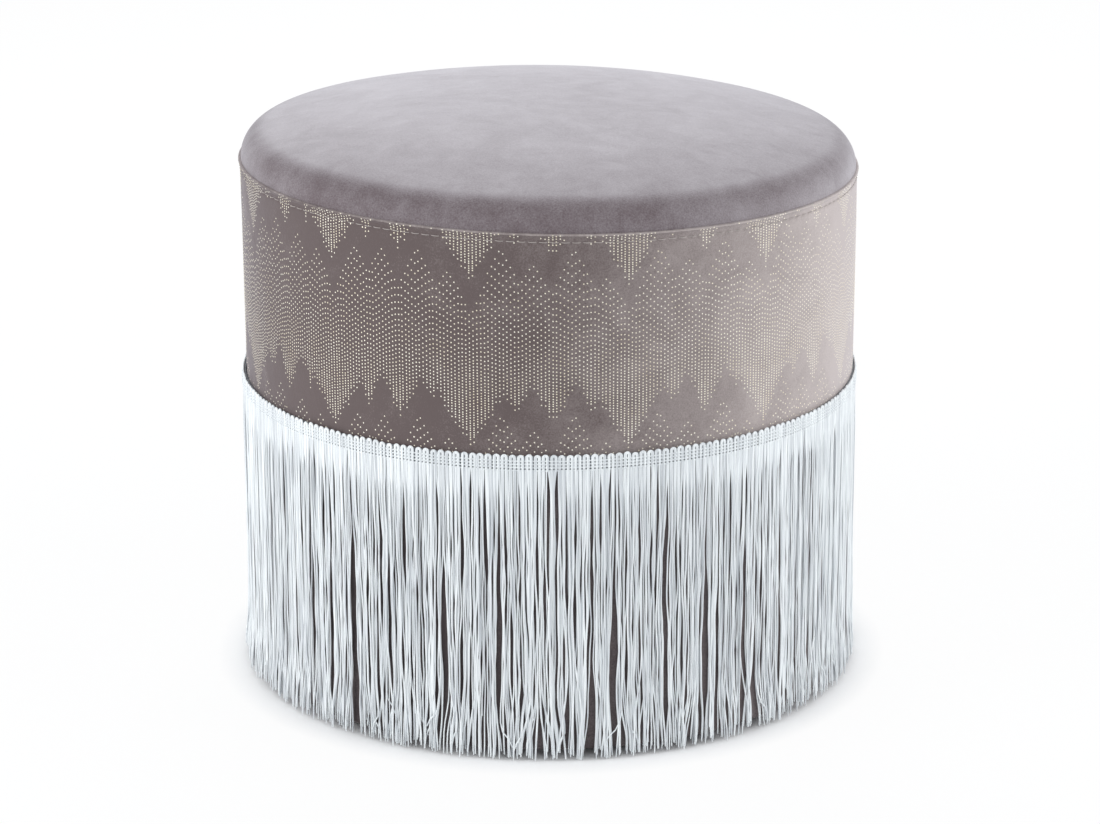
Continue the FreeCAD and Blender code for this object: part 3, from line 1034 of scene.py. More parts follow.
@dataclass
class PrintedBand:
    """The upper velvet band, folded and topstitched at the seat seam, and joined at the back."""

    drum: Drum
    stitches: int = 190
    columns_per_stitch: int = 6
    seam_drop: float = 5.6 * MM
    ridge: float = 1.0 * MM
    groove: float = 0.5 * MM
    dent: float = 0.2 * MM
    thread: float = 0.55 * MM
    bite: float = 0.42
    row_gap: float = 6 * MM
    unevenness: float = 0.25 * MM

    def build(self) -> list[bpy.types.Object]:
        """Makes the band and its topstitch.

        Returns:
            The two pieces.
        """
        shape = Shape()
        shape.add_grid(self._grid(), close_rows=True)
        mesh = shape.mesh("printed_velvet_band", 60.0)
        band = make_piece("printed_velvet_band", mesh, self._finish().make(), Slot.PRINTED_VELVET,
                          "printed_band")
        self.drum.seam - self.drum.band_joint
        return [band, self._sew()]

    def _finish(self) -> Velvet:
        """The band's velvet, warmer than the seat's.

        Returns:
            The finish.
        """
        # Painted sheen: pale tone at the sides and on faces turned to the right; a painted highlight runs
        # along the fold under the seam.
        return BandVelvet("printed_velvet", tone(101, 90, 89), tone(190, 180, 177), tone(228, 226, 234),
                          glow_weight=0.48, sides=0.34, right_sheen=1.06, clouding=0.34,
                          seam=self.drum.seam, seam_tilt=self.drum.seam_drop / self.drum.radius)

    def relief_at(self, depth: Any, angle: Any) -> Any:
        """How far the band's face stands out of the drum's radius.

        Args:
            depth: How far below the seam, in metres.
            angle: Where round the drum, in radians.

        Returns:
            The offset in metres, the same shape as the two together.
        """
        sewn = 0.7 + 0.3 * np.cos((angle - BACK) * self.stitches)
        fold = self.ridge * bell(depth, 1.2 * MM, 1.1 * MM) - 1.7 * MM * (1 - ease(depth, 0.0, 0.8 * MM))
        groove = self.groove * sewn * bell(depth, self.seam_drop, 1.0 * MM)
        uneven = np.sin(3 * angle + 0.7) + 0.6 * np.sin(7 * angle + 2.0)
        drift = self.unevenness * uneven * ease(depth, 5 * MM, 40 * MM)
        trim = self.drum.seam - self.drum.heading_top
        pressed = self.dent * bell(depth, trim, 2.2 * MM)
        return fold - groove - pressed + drift + join_relief(angle, self.drum.radius)

    def height_at(self, depth: Any, angle: Any) -> Any:
        """Height of points of the band, which lean with the seam above and lie level at its foot.

        Args:
            depth: How far below the seam, in metres.
            angle: Where round the drum, in radians.

        Returns:
            The height in metres.
        """
        tall = self.drum.seam - self.drum.band_joint
        lean = (self.drum.seam_at(angle) - self.drum.seam) * ease(1 - depth / tall, 0.1, 0.95)
        return self.drum.seam - depth + lean

    def _grid(self) -> np.ndarray:
        """The band as a closed shell, from the inside's top round its foot to the fold at the seam.

        Returns:
            Points by row and column.
        """
        fine = np.array((14, 11, 9, 7.8, 7.0, 6.4, 6.0, 5.6, 5.2, 4.8,
                         4.2, 3.4, 2.6, 2.0, 1.5, 1.0, 0.6, 0.3, 0.0)) * MM
        tall = self.drum.seam - self.drum.band_joint
        trim = self.drum.seam - self.drum.heading_top
        low = trim + np.array((2.8, 1.6, 0.6, -0.4, -1.4, -2.8)) * MM
        rows = max(2, round((low[-1] - fine[0]) / self.row_gap))
        middle = np.linspace(low[-1], fine[0], rows, endpoint=False)[1:]
        depth = np.concatenate(((tall,), low, middle, fine))[:, None]
        angle = turn_angles(self.stitches * self.columns_per_stitch)[None, :]
        height = self.height_at(depth, angle)
        outside = around(self.drum.radius + self.relief_at(depth, angle), angle, height)
        inside = around(self.drum.radius - self.drum.velvet - 0.2 * MM, angle, height[[-1, rows // 2, 0]])
        return np.concatenate((inside, outside))

    def _sew(self) -> bpy.types.Object:
        """The topstitch: one short bead of thread for each stitch, its ends sunk in the velvet.

        Returns:
            The piece.
        """
        steps = 7
        reach = np.linspace(-self.bite, self.bite, steps)[None, :]
        angle = BACK + (np.arange(self.stitches)[:, None] + 0.5 + reach) * TURN / self.stitches
        base = self.drum.radius + self.relief_at(self.seam_drop, angle) + 0.12 * MM
        rise = 0.2 * MM * np.cos(reach / self.bite * math.pi / 2)
        sunk = 0.5 * MM * (np.abs(reach) / self.bite) ** 4
        arch = base + rise - sunk
        height = self.drum.seam_at(angle) - self.seam_drop
        shape = Shape()
        shape.add_tubes(around(arch, angle, height), around(1.0, angle, 0.0), self.thread, self.thread, 6)
        thread = Plain("stitch_thread", tone(158, 150, 146), tone(182, 174, 170), 0.6 * MM, 0.05 * MM)
        return make_piece("topstitch", shape.mesh("topstitch"), thread.make(), Slot.PRINTED_VELVET)


def join_relief(angle: Any, radius: float) -> Any:
    """The upright seam at the back of a band: a groove between two soft ridges.

    Args:
        angle: Where round the drum, in radians.
        radius: The drum's radius.

    Returns:
        The offset in metres.
    """
    away = np.abs((angle - BACK + math.pi) % TURN - math.pi) * radius
    return 0.35 * MM * bell(away, 2.0 * MM, 1.2 * MM) - 0.9 * MM * bell(away, 0.0, 0.8 * MM)


@dataclass(frozen=True)
class Peak:
    """One point in an edge of the print: its place in a repeat, how far it goes and how wide it spreads."""

    place: float
    reach: float
    spread: float

    def reaching(self, reach: float) -> "Peak":
        """The same peak with another reach."""
        return Peak(self.place, reach, self.spread)


@dataclass
class FoilPrint:
    """The band's print: columns of small foil dots that thin out upwards like flames and drip down."""

    drum: Drum
    band: PrintedBand
    repeats: int = 13
    repeat_columns: int = 42
    repeat_tall: float = 104 * MM
    dot: float = 1.2 * MM
    dot_rise: float = 0.18 * MM
    sides: int = 8
    dense_gap: float = 1.68 * MM
    sparse_gap: float = 5.6 * MM
    thinning: float = 8.5
    flattening: float = 13.0
    seed: int = 21
    drips: tuple[Peak, ...] = (
        Peak(0.00, 136 * MM, 0.23), Peak(0.29, 111 * MM, 0.10),
        Peak(0.53, 123 * MM, 0.12), Peak(0.77, 109 * MM, 0.10),
    )
    flames: tuple[Peak, ...] = (
        Peak(0.20, 44 * MM, 0.15), Peak(0.40, 40 * MM, 0.14),
        Peak(0.66, 43 * MM, 0.15), Peak(0.86, 30 * MM, 0.12),
    )
    drip_root: float = 87 * MM
    flame_root: float = 56 * MM

    def build(self) -> list[bpy.types.Object]:
        """Presses the dots on, a quarter of the band at a time.

        Returns:
            The four pieces.
        """
        depth, angle = self._places()
        finish = Foil("gold_foil").make()
        pieces = []
        for quarter in range(4):
            mine = ((angle - BACK) // (TURN / 4)).astype(int) == quarter
            shape = Shape()
            self._press(shape, depth[mine], angle[mine])
            name = f"foil_print_{quarter + 1}"
            pieces.append(make_piece(name, shape.mesh(name, 60.0), finish, Slot.PRINTED_VELVET))
        return pieces

    @staticmethod
    def _edge(share: float, peaks: Iterable[Peak], power: float) -> float:
        """How far the highest of some peaks reaches.

        Args:
            share: Where in the repeat, 0 to 1.
            peaks: The peaks.
            power: Above 1 their sides are hollow, and below 1 they are full.

        Returns:
            The reach in metres, 0 between them.
        """
        reach = 0.0
        for peak in peaks:
            away = abs((share - peak.place + 0.5) % 1.0 - 0.5)
            reach = max(reach, peak.reach * max(1 - away / peak.spread / 1.3, 0.0) ** power)
        return reach

    def _places(self) -> tuple[np.ndarray, np.ndarray]:
        """Depth below the seam and angle of every dot.

        Returns:
            Two arrays, one number for each dot.
        """
        chance = np.random.default_rng(self.seed)
        columns = self.repeats * self.repeat_columns
        depths, angles = [], []
        lowest = self.drum.seam - self.drum.heading_top + 2 * MM
        drips, flames = self.drips, self.flames
        for column in range(1, columns):
            angle = BACK + (column + chance.normal(0.0, 0.03)) * TURN / columns
            share = (column % self.repeat_columns) / self.repeat_columns
            if column % self.repeat_columns == self.repeat_columns // 8:
                flames = tuple(p.reaching(p.reach * chance.uniform(0.85, 1.08)) for p in self.flames)
            if column % self.repeat_columns == self.repeat_columns // 3:
                drips = tuple(p.reaching(p.reach - chance.uniform(0.0, 7 * MM)) for p in self.drips)
            deep = tuple(p.reaching(p.reach - self.drip_root) for p in drips)
            foot = self.drip_root + self._edge(share, deep, 1.05) + chance.normal(0.0, 1.3 * MM)
            head = self.flame_root - self._edge(share, flames, 0.75) + chance.normal(0.0, 0.5 * MM)
            run = self._run(head, foot, share)
            run = run + chance.normal(0.0, 0.12 * MM, len(run))
            shift = self.drum.seam - float(self.drum.seam_at(angle))
            for repeat in (-1, 0, 1):
                depth = run + repeat * self.repeat_tall - shift
                kept = depth[(depth > 0.9 * MM) & (depth < lowest)]
                depths.append(kept)
                angles.append(np.full(len(kept), angle))
        return np.concatenate(depths), np.concatenate(angles)

    def _run(self, head: float, foot: float, share: float) -> np.ndarray:
        """The dots of one column, wide apart at its head, close below, and one loose dot past its foot.

        Args:
            head: Depth of the highest dot.
            foot: Depth of the last close one.
            share: Where in the repeat the column stands.

        Returns:
            Depths in metres.
        """
        row = np.arange(70)
        gaps = self.dense_gap + (self.sparse_gap - self.dense_gap) * np.exp(-row / self.thinning)
        common = self.flame_root * 0.5
        level = common + np.concatenate(((0.0,), np.cumsum(gaps)[:-1]))
        sway = (head - common) * np.exp(-row / self.flattening)
        ripple = 0.9 * MM * math.sin(TURN * (share * 5 + 0.2)) * np.sin(row / 4)
        depth = level + sway + ripple
        close = depth[depth < foot]
        if len(close) == 0:
            return close
        return np.append(close, close[-1] + 2.0 * self.dense_gap)

    def _press(self, shape: Shape, depth: np.ndarray, angle: np.ndarray) -> None:
        """Adds low round dots that follow the band's face.

        Args:
            shape: The shape that they go into.
            depth: Depth below the seam of each.
            angle: Angle of each.
        """
        turn = np.arange(self.sides)[None, :] * TURN / self.sides
        radius = self.dot / 2
        rim_angle = angle[:, None] + radius * np.cos(turn) / self.drum.radius
        rim_depth = depth[:, None] - radius * np.sin(turn)
        rim = self._on_band(rim_depth, rim_angle, -0.06 * MM)
        top = self._on_band(depth[:, None], angle[:, None], self.dot_rise)
        points = np.concatenate((rim, top), axis=1)
        start = (np.arange(len(depth)) * (self.sides + 1))[:, None]
        ring = np.arange(self.sides)[None, :]
        after = (ring + 1) % self.sides
        tip = np.broadcast_to(start + self.sides, (len(depth), self.sides))
        fan = np.stack((start + ring, start + after, tip), axis=-1)
        shape.add(points, fan.reshape(-1, 3), start + ring[:, ::-1])

    def _on_band(self, depth: Any, angle: Any, lift: float) -> np.ndarray:
        """Points on the band's face.

        Args:
            depth: Depth below the seam.
            angle: Where round the drum.
            lift: How far out of the face.

        Returns:
            The points.
        """
        radius = self.drum.radius + self.band.relief_at(depth, angle) + lift
        return around(radius, angle, self.band.height_at(depth, angle))


@dataclass
class PlainBand:
    """The lower velvet band behind the fringe, turned under the base in small pleats."""

    drum: Drum
    columns: int = 720
    hem: float = 6 * MM
    turn_under: float = 45 * MM
    pleats: int = 60
    pleat_depth: float = 1.0 * MM

    def build(self) -> bpy.types.Object:
        """Makes the band.

        Returns:
            The piece.
        """
        radius, height = self._outline()
        angle = turn_angles(self.columns)[None, :]
        radius, height = radius[:, None], height[:, None]
        under = ease(radius, self.drum.radius - 6 * MM, self.drum.radius - 30 * MM)
        low = height < self.drum.underside + self.drum.velvet + 0.5 * MM
        pleat = self.pleat_depth * np.abs(np.sin(angle * self.pleats / 2 + 0.4 * np.sin(5 * angle))) ** 2
        drift = 0.3 * MM * np.sin(4 * angle + 1.0) * ease(height, 30 * MM, 90 * MM)
        side = height > self.drum.underside + self.hem
        seam = np.where(side, join_relief(angle, self.drum.radius) + drift, 0.0)
        outer = radius > self.drum.radius - 0.6 * self.drum.velvet
        grid = around(radius + seam * outer, angle, height - np.where(low, pleat * under, 0.0))
        shape = Shape()
        shape.add_grid(grid, close_rows=True)
        mesh = shape.mesh("plain_velvet_band", 60.0)
        band = make_piece("plain_velvet_band", mesh, self._finish().make(), Slot.PLAIN_VELVET, "plain_band")
        length = self.drum.band_joint - self.drum.underside + self.turn_under
        return band

    @staticmethod
    def _finish() -> Velvet:
        """The printed band's velvet without the print, in darker tones as painted shade under the fringe,
        with painted sheen at the sides and on faces turned to the right.
        """
        # Darker tones than the printed band's: painted shade under the fringe. Painted sheen at the sides and
        # on faces turned to the right.
        return Velvet("plain_velvet", tone(82, 74, 75), tone(136, 126, 126), tone(220, 212, 212),
                      glow_weight=0.15, right_sheen=0.9)

    def _outline(self) -> tuple[np.ndarray, np.ndarray]:
        """The closed outline of the band's section, from its inner top down, under and up the outside.

        Returns:
            Radius and height of its points.
        """
        top, bottom, thick = self.drum.band_joint, self.drum.underside, self.drum.velvet
        out, end = self.drum.radius, self.drum.radius - self.turn_under
        rise = np.linspace(bottom + self.hem, top, 32)
        bend = np.linspace(0.0, math.pi / 2, 7)
        under = np.linspace(end, out - self.hem, 9, endpoint=False)
        inner_hem = self.hem - thick
        radius = (np.full(3, out - thick), out - self.hem + inner_hem * np.cos(bend), under[::-1],
                  under, out - self.hem + self.hem * np.sin(bend), np.full(31, out))
        height = (np.linspace(top, bottom + self.hem + 1 * MM, 3),
                  bottom + self.hem - inner_hem * np.sin(bend), np.full(9, bottom + thick),
                  np.full(9, bottom), bottom + self.hem - self.hem * np.cos(bend), rise[1:])
        return np.concatenate(radius), np.concatenate(height)


@dataclass
class Fringe:
    """The trimming round the middle: a woven tape, its row of chained loops, and the hanging yarns."""

    drum: Drum
    loops: int = 254
    yarns_per_leg: int = 3
    leg_wide: float = 2.2 * MM
    leg_thick: float = 1.4 * MM
    leg_steps: int = 20
    leg_spread: float = 0.12
    pinch: float = 0.40
    chain_rows: int = 4
    chain_gap: float = 2.05 * MM
    chain_thick: float = 0.7 * MM
    chain_dip: float = 0.5 * MM
    first_chain_sunk: float = 0.4 * MM
    yarn_wide: float = 1.02 * MM
    yarn_thick: float = 0.9 * MM
    crowding: float = 0.66
    bunch_sizes: tuple[int, int] = (2, 8)
    group_sizes: tuple[int, int] = (2, 4)
    wander: tuple[tuple[float, float], ...] = ((0.8, 0.70 * MM), (2.2, 0.46 * MM), (5.0, 0.22 * MM))
    hang_gap: float = 0.95 * MM
    hang_depth: float = 1.9 * MM
    tip_lift: float = 1.3 * MM
    splay: float = 1.7 * MM
    bunch_splay: float = 1.8 * MM
    crossing: float = 0.035
    curled: float = 0.07
    short: float = 0.05
    steps: int = 28
    sections: int = 6
    tip_height: float = 3.6 * MM
    seed: int = 11
    finish: bpy.types.Material | None = field(default=None, init=False)

    def build(self) -> list[bpy.types.Object]:
        """Makes tape, loops, chains and yarns.

        Returns:
            The pieces.
        """
        self.finish = Yarn("fringe_yarn").make()
        return [self._weave_tape(), self._bend_loops(), self._sew_chains(), *self._hang_yarns()]

    @property
    def leg_radius(self) -> float:
        """Distance of the loops' middle from the axis."""
        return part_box("fringe_loops")[1].x - 0.2 * MM

    def _weave_tape(self) -> bpy.types.Object:
        """The tape that carries the loops, close to the velvet, dark grey as painted shade between the loops'
        legs.

        Returns:
            The piece.
        """
        low, high = self.drum.heading_foot, self.drum.heading_top - 1.2 * MM
        inside = self.drum.radius + 0.2 * MM
        height = np.linspace(low, high, 6)
        rows = np.concatenate((height[::-1], height))[:, None]
        radius = np.repeat((inside, inside + 0.8 * MM), 6)[:, None]
        angle = turn_angles(540)[None, :]
        shape = Shape()
        shape.add_grid(around(radius, angle, rows), close_rows=True)
        # Dark grey: painted shade that shows between the loops' legs.
        tape = Plain("tape_painted_shade", tone(118, 121, 127), tone(152, 156, 161), 0.8 * MM, 0.1 * MM, 0.9).make()
        mesh = shape.mesh("heading_tape", 60.0)
        return make_piece("heading_tape", mesh, tape, Slot.FRINGE_YARN, "fringe_tape")

    def _bend_loops(self) -> bpy.types.Object:
        """The loops: each rises from the foot of the heading, bends over and comes down again.

        Returns:
            The piece.
        """
        chance = np.random.default_rng(self.seed)
        pitch = self.drum.girth / self.loops
        bend = np.linspace(0.0, math.pi, 9)
        half = pitch / 4
        foot = self.drum.heading_foot + 0.5 * MM
        crown = self.drum.heading_top - half - self.leg_wide / 2 + 0.3 * MM
        rise = np.linspace(foot, crown, self.leg_steps + 1)[:-1]
        left, right = np.full(self.leg_steps, -half), np.full(self.leg_steps, half)
        sideways = np.concatenate((left, -half * np.cos(bend), right))
        height = np.concatenate((rise, crown + half * np.sin(bend), rise[::-1]))
        middle = BACK + (np.arange(self.loops) + 0.5)[:, None] * TURN / self.loops
        shift = chance.normal(0.0, 0.16 * MM, (self.loops, 1))
        tall = chance.normal(0.0, 0.22 * MM, (self.loops, 1)) * ease(height, foot, crown)[None, :]
        angle = middle + (sideways[None, :] + shift) / self.drum.radius
        path = around(self.leg_radius, angle, height[None, :] + tall)
        pinched = self.pinch * (1 - ease(height, foot, foot + 2.2 * MM))
        slim = 1 - pinched - 0.12 * ease(height, crown - 1 * MM, crown + half)
        chained = 1 - ease(height, crown - 1 * MM, crown)
        pressed = np.cos((height - foot - 0.5 * MM) * TURN / self.chain_gap) * chained
        slim = (slim + self.leg_spread * pressed)[None, :] * np.ones((self.loops, 1))
        shape = Shape()
        shape.add_tubes(path, around(1.0, angle, 0.0), self.leg_wide * slim, self.leg_thick * slim, 8)
        mesh = shape.mesh("heading_loops")
        return make_piece("heading_loops", mesh, self.finish, Slot.FRINGE_YARN, "fringe_loops")

    def _sew_chains(self) -> bpy.types.Object:
        """Fine chain stitches across the legs, which hold them down in rows.

        Returns:
            The piece.
        """
        steps = 2 * self.loops * 4
        angle = BACK + (np.arange(steps) + 0.5) * TURN / steps
        dip = ease(np.cos((angle - BACK) * 2 * self.loops), 0.2, 1.0)
        radius = self.leg_radius + self.leg_thick / 2 + 0.08 * MM - self.chain_dip * dip
        shape = Shape()
        foot = self.drum.heading_foot + 1.0 * MM
        turn = np.arange(6) * TURN / 6
        thick = self.chain_thick / 2
        for row in range(self.chain_rows):
            height = foot + row * self.chain_gap
            sunk = self.first_chain_sunk if row == 0 else 0.0
            grid = around(radius[None, :] - sunk + thick * np.cos(turn)[:, None], angle[None, :],
                          height + thick * np.sin(turn)[:, None])
            shape.add_grid(grid, close_rows=True)
        return make_piece("heading_chains", shape.mesh("heading_chains"), self.finish, Slot.FRINGE_YARN)

    def _hang_yarns(self) -> list[bpy.types.Object]:
        """The hanging yarns, in sections round the drum.

        Returns:
            The pieces.
        """
        path, angle, wide = self._yarn_paths()
        pieces = []
        for number, rows in enumerate(np.array_split(np.arange(len(path)), self.sections)):
            shape = Shape()
            out = around(1.0, angle[rows], 0.0)
            shape.add_tubes(path[rows], out, self.yarn_wide * wide[rows], self.yarn_thick * wide[rows], 6)
            name = f"fringe_yarns_{number + 1}"
            pieces.append(make_piece(name, shape.mesh(name), self.finish, Slot.FRINGE_YARN, "fringe_strands"))
        return pieces

    def _yarn_paths(self) -> tuple[np.ndarray, np.ndarray, np.ndarray]:
        """Where every yarn runs.

        Returns:
            Points, angles and relative widths, all by yarn and step.
        """
        chance = np.random.default_rng(self.seed + 1)
        legs = 2 * self.loops
        count = legs * self.yarns_per_leg
        place = np.arange(self.yarns_per_leg) - (self.yarns_per_leg - 1) / 2
        pair = place * self.yarn_wide * self.crowding
        start = ((np.arange(legs)[:, None] + 0.5) * self.drum.girth / legs + pair).ravel()
        fall = np.linspace(0.0, 1.0, self.steps)[None, :]
        bunch = self._bunches(chance, count, *self.bunch_sizes)
        side = self._gather(chance, start, bunch, fall)
        layer = chance.uniform(0.0, 1.0, (count, 1))
        out = self.drum.radius + self.hang_gap + self.hang_depth * layer + 0.5 * MM * fall ** 2
        out = out + (self.leg_radius - out) * (1 - ease(fall, 0.03, 0.14))
        out = out + np.abs(chance.normal(0.0, self.tip_lift, (count, 1))) * ease(fall, 0.8, 1.0)
        foot = self._cut(chance, bunch)
        top = self.drum.heading_foot + 1.5 * MM
        height = top - (top - foot) * fall
        side, out, height = self._stray(chance, side, out, height, fall)
        angle = BACK + (start[:, None] + side) / self.drum.radius
        wide = chance.normal(1.0, 0.12, (count, 1)) * (1 - 0.3 * ease(fall, 0.985, 1.0))
        return around(out, angle, height), angle, np.broadcast_to(wide, angle.shape)

    def _gather(self, chance: np.random.Generator, start: np.ndarray, bunch: np.ndarray,
                fall: np.ndarray) -> np.ndarray:
        """Draws the yarns together in bunches and groups of bunches, and lets each wander.

        Args:
            chance: The random source.
            start: Where round the drum each yarn starts, in metres.
            bunch: The number of each yarn's bunch.
            fall: How far down each step is, 0 to 1.

        Returns:
            The sideways offset by yarn and step, in metres.
        """
        count, small = len(start), bunch[-1] + 1
        centre = np.bincount(bunch, start) / np.bincount(bunch) + chance.normal(0.0, 0.35 * MM, small)
        group = self._bunches(chance, small, *self.group_sizes)
        large = group[-1] + 1
        middle = np.bincount(group, centre) / np.bincount(group) + chance.normal(0.0, 1.3 * MM, large)

        def each(low: float, high: float) -> np.ndarray:
            """One chance value for each bunch, handed to its yarns."""
            return chance.uniform(low, high, small)[bunch][:, None]

        eager = (chance.uniform(0.0, 1.0, small) < 0.12)[bunch][:, None]
        pull = each(0.10, 0.42) * (1 + 0.8 * eager)
        close = pull * ease((fall - each(-0.04, 0.04)) / each(0.06, 0.35), 0.0, 1.0)
        merge = each(0.0, 0.32) * ease((fall - each(0.1, 0.4)) / each(0.2, 0.6), 0.0, 1.0)
        side = (centre[bunch] - start)[:, None] * close + (middle[group] - centre)[bunch][:, None] * merge
        side = side + chance.normal(0.0, 1.0 * MM, small)[bunch][:, None] * fall ** 1.2
        for waves, size in self.wander:
            phase = chance.uniform(0.0, TURN, (count, 1))
            pace = waves * chance.uniform(0.7, 1.3, (count, 1))
            side = side + size * np.sin(TURN * pace * fall + phase) * ease(fall, 0.0, 0.35)
        side = side + chance.normal(0.0, self.splay, (count, 1)) * ease(fall, 0.72, 1.0)
        return side + chance.normal(0.0, self.bunch_splay, small)[bunch][:, None] * ease(fall, 0.8, 1.0)

    def _cut(self, chance: np.random.Generator, bunch: np.ndarray) -> np.ndarray:
        """Cuts the yarns off near the floor, not quite evenly and a few of them short.

        Args:
            chance: The random source.
            bunch: The number of each yarn's bunch.

        Returns:
            The height of each tip.
        """
        count, small = len(bunch), bunch[-1] + 1
        foot = self.tip_height + chance.normal(0.0, 2.0 * MM, (count, 1))
        foot = foot + chance.normal(0.0, 1.3 * MM, small)[bunch][:, None]
        short = chance.uniform(0.0, 1.0, (count, 1)) < self.short
        return np.clip(foot, 0.9 * MM, 12 * MM) + short * chance.uniform(5 * MM, 26 * MM, (count, 1))

    @staticmethod
    def _bunches(chance: np.random.Generator, count: int, least: int, most: int) -> np.ndarray:
        """Gathers neighbours into bunches of uneven size.

        Args:
            chance: The random source.
            count: How many there are to gather.
            least: The smallest bunch.
            most: The largest bunch.

        Returns:
            The number of each one's bunch.
        """
        ends = np.cumsum(chance.integers(least, most + 1, count))
        return np.searchsorted(ends, np.arange(count), side="right")

    def _stray(self, chance: np.random.Generator, side: np.ndarray, out: np.ndarray, height: np.ndarray,
               fall: np.ndarray) -> tuple[np.ndarray, np.ndarray, np.ndarray]:
        """Lets a few yarns cross their neighbours, and curls the ends of some of them.

        Args:
            chance: The random source.
            side: Sideways offset by yarn and step.
            out: Distance from the axis by yarn and step.
            height: Height by yarn and step.
            fall: How far down each step is, 0 to 1.

        Returns:
            The three arrays, changed.
        """
        count = len(side)
        crosses = chance.uniform(0.0, 1.0, (count, 1)) < self.crossing
        crossing = crosses * chance.choice((-1.0, 1.0), (count, 1))
        from_here = chance.uniform(0.45, 0.85, (count, 1))
        reach = crossing * chance.uniform(4 * MM, 9 * MM, (count, 1))
        swing = reach * ease((fall - from_here) / (1 - from_here), 0.0, 1.0)
        curl = (chance.uniform(0.0, 1.0, (count, 1)) < self.curled) * ease(fall, 0.9, 1.0)
        hook = chance.choice((-1.0, 1.0), (count, 1)) * chance.uniform(3 * MM, 7 * MM, (count, 1)) * curl
        side = side + swing + hook
        out = out + np.abs(crossing) * 0.9 * MM * ease(fall, 0.5, 0.8)
        return side, out, height + 5 * MM * curl


@dataclass
class Foot:
    """What shows from below: the dust cover with its staples, and the glides with a hollow for each nail's
    head.
    """

    drum: Drum
    columns: int = 240
    staples: int = 24
    staple_wide: float = 9 * MM
    wire: float = 0.7 * MM
    glides: int = 4

    def build(self) -> list[bpy.types.Object]:
        """Makes the dust cover, its staples and the glides.

        Returns:
            The pieces.
        """
        return [self._cover(), self._staple(), *self._glide_pieces()]

    def _cover(self) -> bpy.types.Object:
        """Thin black cloth, pulled to its staples and a little loose between them.

        Returns:
            The piece.
        """
        low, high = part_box("dust_cover")
        angle = turn_angles(self.columns)[None, :]
        share = np.concatenate((np.linspace(0.03, 0.9, 12), (0.94, 0.97, 0.99, 1.0)))
        loose = np.cos((angle - BACK) * self.staples)
        edge = high.x + 0.5 * MM * loose
        rows = np.concatenate((share, share[::-1]))[:, None]
        slack = 0.35 * MM * (1 + loose) / 2 * bell(rows, 0.93, 0.08)
        ripple = 0.25 * MM * np.sin(9 * rows + 2 * angle) * (1 - rows)
        base = np.concatenate((np.full(len(share), low.z), np.full(len(share), high.z)))[:, None]
        grid = around(edge * rows, angle, base - (slack + ripple))
        mesh = capped("dust_cover_cloth", grid, 60.0)
        cloth = Plain("dust_cloth", tone(34, 34, 36), tone(52, 52, 55), 1.2 * MM, 0.12 * MM, 0.9)
        piece = make_piece("dust_cover_cloth", mesh, cloth.make(), Slot.DUST_CLOTH, "dust_cover")
        return piece

    def _staple(self) -> bpy.types.Object:
        """The staples round the dust cover's edge, each pressed flat with its ends sunk in.

        Returns:
            The piece.
        """
        low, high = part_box("dust_cover")
        radius = high.x - 7 * MM
        steps = np.linspace(-1.0, 1.0, 9)[None, :]
        middle = BACK + np.arange(self.staples)[:, None] * TURN / self.staples
        angle = middle + steps * self.staple_wide / 2 / radius
        height = low.z - 0.25 * MM + 0.9 * MM * np.abs(steps) ** 8 + 0 * angle
        path = around(radius, angle, height)
        shape = Shape()
        out = np.broadcast_to(np.array((0.0, 0.0, -1.0)), path.shape)
        shape.add_tubes(path, out, 1.2 * MM, self.wire, 6)
        mesh = shape.mesh("dust_cover_staples")
        return make_piece("dust_cover_staples", mesh, bright_wire("dust_staple_wire"), Slot.STAPLE_WIRE)

    def _glide_pieces(self) -> list[bpy.types.Object]:
        """The four glides: turned discs with a hollow for the nail's head.

        Returns:
            The pieces.
        """
        plastic = Plain("glide_plastic", tone(40, 40, 42), tone(54, 54, 56), 0.7 * MM, 0.03 * MM, 0.45).make()
        pieces = []
        for number in range(1, self.glides + 1):
            node = f"glide_{number}"
            low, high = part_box(node)
            wide = (high.x - low.x) / 2
            tall = high.z - low.z
            radius = np.array((0.10, 0.22, 0.30, 0.34, 0.40, 0.46, 0.86,
                               0.93, 0.98, 1.0, 1.0, 0.97, 0.6, 0.1)) * wide
            height = np.array((0.42, 0.42, 0.38, 0.45, 0.45, 0.0, 0.0,
                               0.03, 0.12, 0.25, 0.92, 1.0, 1.0, 1.0)) * tall
            angle = turn_angles(48)[None, :]
            grid = around(radius[:, None], angle, height[:, None])
            grid = grid + np.array(((low.x + high.x) / 2, (low.y + high.y) / 2, low.z))
            mesh = capped(f"nylon_{node}", grid, 35.0)
            pieces.append(make_piece(f"nylon_{node}", mesh, plastic, Slot.GLIDE_PLASTIC, node))
        return pieces


